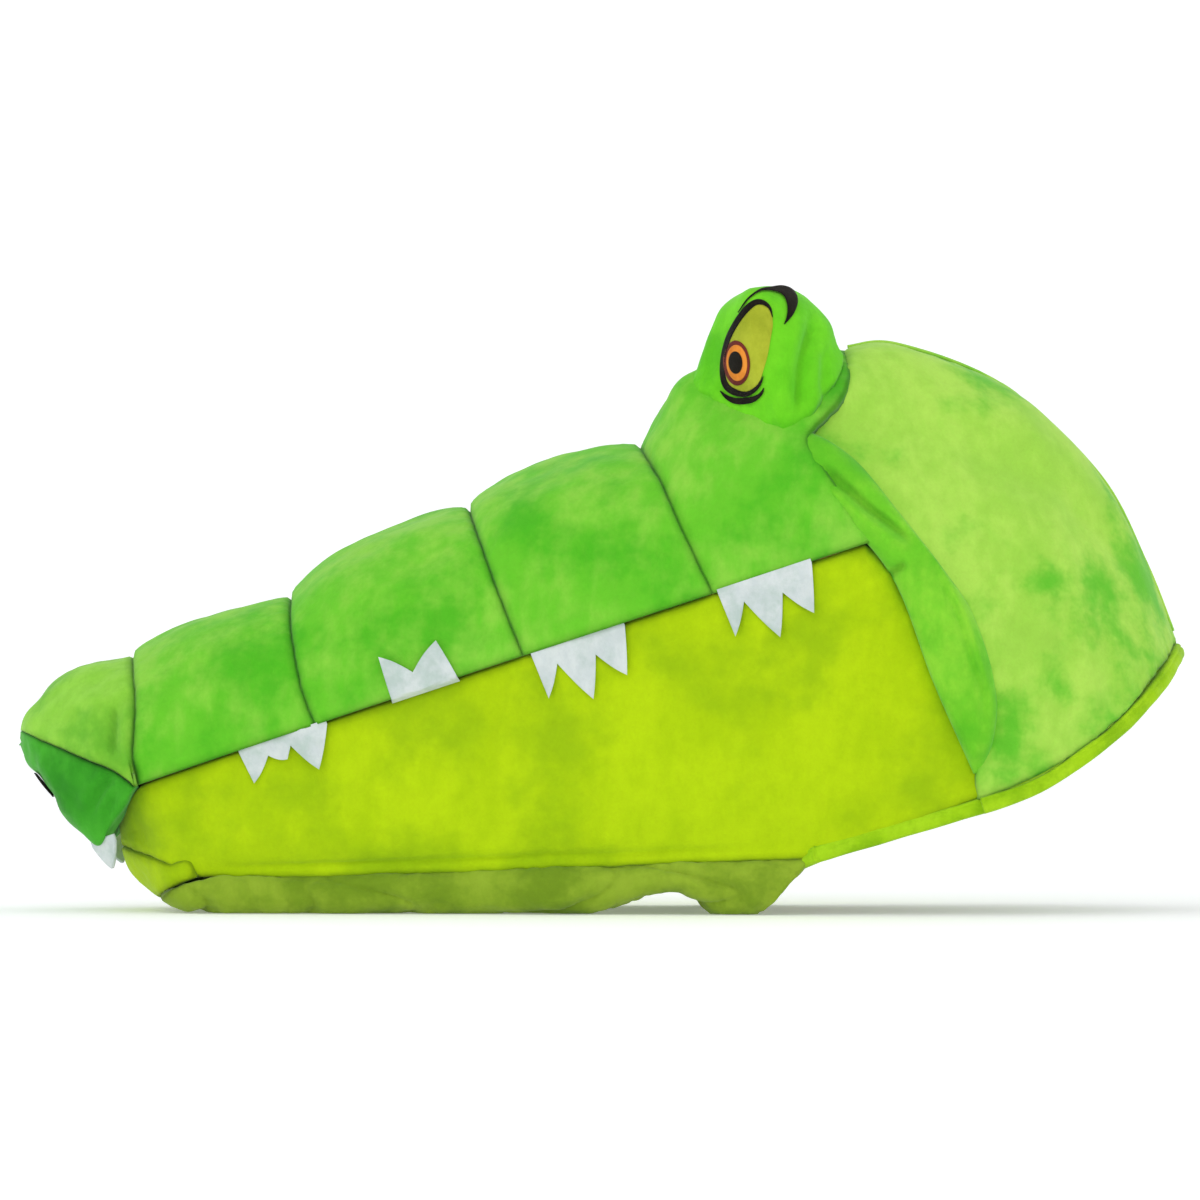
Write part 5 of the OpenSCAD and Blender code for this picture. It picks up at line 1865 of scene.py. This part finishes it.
class Wardrobe:
    """Every finish, and the dressing of pieces in them."""

    def __init__(self) -> None:
        """Names the finishes."""
        self.effects = Effects()
        self.made: dict[Cloth, bpy.types.Material] = {}
        # the crown's plush: painted shade darkens it towards the rear and the bottom
        self.light = Cloth("plush_light_green", (174, 221, 86), (158, 212, 74), (84, 188, 36), 25.0,
                           painted_shade_slope=(0.9, 0.0, -0.6), painted_shade_offset=-0.09)
        self.nose_top = Cloth("plush_light_green", (150, 212, 72), (134, 200, 58), (98, 176, 44))
        self.nose_front = Cloth("plush_deep_green", (72, 172, 44), (58, 156, 34), (40, 132, 24))
        self.green = Cloth("plush_green", (138, 206, 66), (104, 196, 42), (70, 178, 26), 22.0)
        self.bright = Cloth("plush_green", (116, 214, 36), (104, 204, 30), (84, 186, 24))
        self.jowl = Cloth("plush_green", (140, 212, 54), (112, 200, 40), (88, 184, 32))
        self.lime = Cloth("plush_lime", (182, 214, 10), (170, 204, 6), (148, 186, 10), 20.0)
        # the lime plush made darker and duller: painted shade on the underside, which faces down
        self.underside = Cloth("plush_lime_underside", (150, 178, 50), (136, 166, 42),
                               (112, 144, 30), 34.0)
        self.binding = Cloth("hem_binding", (170, 216, 30), (160, 208, 20), (132, 184, 12), 60.0,
                             1300.0, seams=0.0)
        self.felt = Cloth("white_felt", (214, 221, 220), (203, 212, 212), (180, 198, 190), 60.0,
                          620.0, 0.10, 0.4, 0.05, 0.0)
        self.black = Cloth("black_felt", (38, 34, 28), (26, 22, 18), (16, 13, 10), 60.0, 620.0,
                           0.2, 0.4, 0.05, 0.0)
        self.ink = Cloth("black_felt", (34, 30, 22), (24, 20, 15), (16, 13, 10), 60.0, seams=0.0)
        self.yellow = Cloth("eye_print_yellow", (176, 186, 52), (165, 175, 44), (150, 162, 38),
                            60.0, seams=0.0)
        self.maroon = Cloth("eye_print_orange", (122, 50, 42), (110, 45, 40), (92, 36, 32), 60.0,
                            seams=0.0)
        self.orange = Cloth("eye_print_orange", (238, 150, 58), (228, 138, 48), (206, 116, 38),
                            60.0, seams=0.0)
        self.fleece = Cloth("mouth_fleece", (214, 88, 86), (198, 74, 74), (170, 56, 58), 40.0,
                            700.0, seams=0.0)
        self.tongue = Cloth("tongue_felt", (206, 54, 60), (190, 44, 50), (164, 34, 40), 50.0,
                            620.0, seams=0.0)
        self.fibre = Cloth("polyester_fill", (240, 240, 236), (228, 228, 224), (204, 204, 198),
                           80.0, 500.0, 0.2, 0.8, 0.2, 0.0)
        self.board = Cloth("stiff_board", (110, 108, 102), (98, 96, 90), (80, 78, 74), 90.0,
                           1600.0, 0.16, 0.15, 0.0, 0.0, 0.8)

    def material(self, finish: Cloth) -> bpy.types.Material:
        """The material of a finish, made the first time it is asked for."""
        if finish not in self.made:
            self.made[finish] = finish.material(self.effects)
        return self.made[finish]

    def piece(self, obj: bpy.types.Object, body: str | None, *nodes: str, finish: Cloth,
              pad: float | None = None) -> None:
        """Finishes a piece: its material, the body it rides on and what it stands for.

        Args:
            obj: the piece.
            body: the body it rides on, or None, where it is left on no body.
            nodes: the CAD nodes it stands for.
            finish: its finish.
            pad: how tightly it is stuffed, or None where it isn't padded. Not used.
        """
        obj.data.materials.clear()
        obj.data.materials.append(self.material(finish))
        if body:
            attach(obj, body)
        if nodes:
            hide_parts(*nodes)
        LOG.info("%s on %s: %d faces", obj.name, body or "both", len(obj.data.polygons))

    def carried(self, node: str, finish: Cloth) -> None:
        """Gives a CAD node its finish."""
        obj = frame["nodes"][node]
        for slot in obj.material_slots:
            slot.material = self.material(finish)


# ---------------------------------------------------------------- studio


@dataclass(frozen=True)
class Lamp:
    """A soft square light: its place, its side, its watts and the point it faces."""

    name: str
    place: tuple[float, float, float]
    size: float
    power: float
    aim: tuple[float, float, float]

    def build(self) -> None:
        """Adds the light, turned to face its point."""
        data = bpy.data.lights.new(self.name, "AREA")
        data.energy, data.size = self.power, self.size
        light = bpy.data.objects.new(self.name, data)
        light.location = self.place
        way = np.asarray(self.aim) - np.asarray(self.place)
        flat = math.hypot(way[0], way[1])
        light.rotation_euler = (math.atan2(flat, -way[2]), 0.0,
                                math.atan2(-way[0], way[1]) if flat else 0.0)
        bpy.context.scene.collection.objects.link(light)


@dataclass
class Studio:
    """White seamless sweep, three soft lights and a level camera square to the side."""

    aim_up: float = 0.1283
    view_width: float = 0.4949
    lens: float = 300.0
    sensor: float = 36.0
    plane: float = -0.02
    # the sweep: radius of its floor, radius of its bend and height of its wall
    floor: float = 5.5
    bend: float = 1.2
    wall: float = 6.0
    glow: float = 0.2
    sky: tuple[float, float, float, float] = (0.95, 0.97, 1.0, 1.0)
    sky_strength: float = 0.74
    lamps: tuple[Lamp, ...] = (
        Lamp("key", (-0.75, -1.5, 1.5), 1.1, 5.5, (0.0, 0.0, 0.1)),
        Lamp("fill", (1.1, -1.6, 0.8), 1.4, 1.0, (0.0, 0.0, 0.12)),
        Lamp("top", (0.0, 0.1, 1.9), 1.6, 1.2, (0.0, 0.0, 0.0)))

    def build(self) -> None:
        """Camera, sweep, lights and world."""
        self.build_camera()
        self.build_sweep()
        for lamp in self.lamps:
            lamp.build()
        world = bpy.data.worlds.new("studio")
        bpy.context.scene.world = world
        world.use_nodes = True
        world.node_tree.nodes["Background"].inputs[0].default_value = self.sky
        world.node_tree.nodes["Background"].inputs[1].default_value = self.sky_strength
        bpy.context.scene.view_settings.view_transform = "Standard"

    def build_camera(self) -> None:
        """A long lens at the distance where the view is as wide as wanted in the plane."""
        data = bpy.data.cameras.new("camera")
        data.lens, data.sensor_width, data.clip_end = self.lens, self.sensor, 30.0
        camera = bpy.data.objects.new("camera", data)
        far = self.view_width * self.lens / self.sensor
        camera.location = (0.0, self.plane - far, self.aim_up)
        camera.rotation_euler = (math.pi / 2, 0.0, 0.0)
        bpy.context.scene.collection.objects.link(camera)
        bpy.context.scene.camera = camera

    def build_sweep(self) -> None:
        """The floor: a disc whose rim turns up in a quarter circle and stands, so that
        every side view has the same white ground behind it. It glows a little, which
        keeps it white under lights that are soft on the puppet."""
        turn = np.linspace(0, math.tau, 97)[None]
        flat = np.array([0.0, 1.0, 3.0, self.floor])
        rise = np.linspace(0, math.pi / 2, 13)[1:]
        r = np.concatenate([flat, self.floor + self.bend * np.sin(rise),
                            [self.floor + self.bend]])[:, None]
        z = np.concatenate([0 * flat, self.bend * (1 - np.cos(rise)), [self.wall]])[:, None]
        grid = np.stack(np.broadcast_arrays(r * np.cos(turn), r * np.sin(turn), z - 2e-4), -1)
        mesh = bpy.data.meshes.new("sweep")
        mesh.from_pydata(grid.reshape(-1, 3).tolist(), [], quads(*grid.shape[:2]).tolist())
        mesh.polygons.foreach_set("use_smooth", np.ones(len(mesh.polygons), bool))
        sweep = bpy.data.objects.new("sweep", mesh)
        bpy.context.scene.collection.objects.link(sweep)
        paper = bpy.data.materials.new("paper")
        paper.use_nodes = True
        t = Tree(paper.node_tree)
        skin = paper.node_tree.nodes["Principled BSDF"]
        where = t.add("ShaderNodeTexCoord").outputs["Object"]
        tone = t.blend(t.noise(where, 3.0), (0.93, 0.93, 0.93, 1), (0.95, 0.95, 0.95, 1))
        t.tree.links.new(tone, skin.inputs["Base Color"])
        skin.inputs["Roughness"].default_value = 0.9
        skin.inputs["Emission Color"].default_value = (1.0, 1.0, 1.0, 1.0)
        skin.inputs["Emission Strength"].default_value = self.glow
        mesh.materials.append(paper)


def main() -> None:
    """Builds the studio and every piece in order."""
    logging.basicConfig(level=logging.INFO, format="%(name)s: %(message)s")
    Studio().build()
    dress = Wardrobe()
    snout, crown = Snout(), Crown()
    jaw = Jaw(snout, crown)
    snout.build(dress)
    for side in (LEFT, RIGHT):
        Eye(snout).build(side, dress)
        crown.build(side, dress)
        jaw.build_side(side, dress)
    crown.build_ridge(dress)
    jaw.build_chin(dress)
    jaw.build_underside(dress)
    Bindings(jaw, crown).build(dress)
    Teeth(snout).build(dress)
    Mouth(snout, jaw).build(dress)


if __name__ == "__main__":
    main()
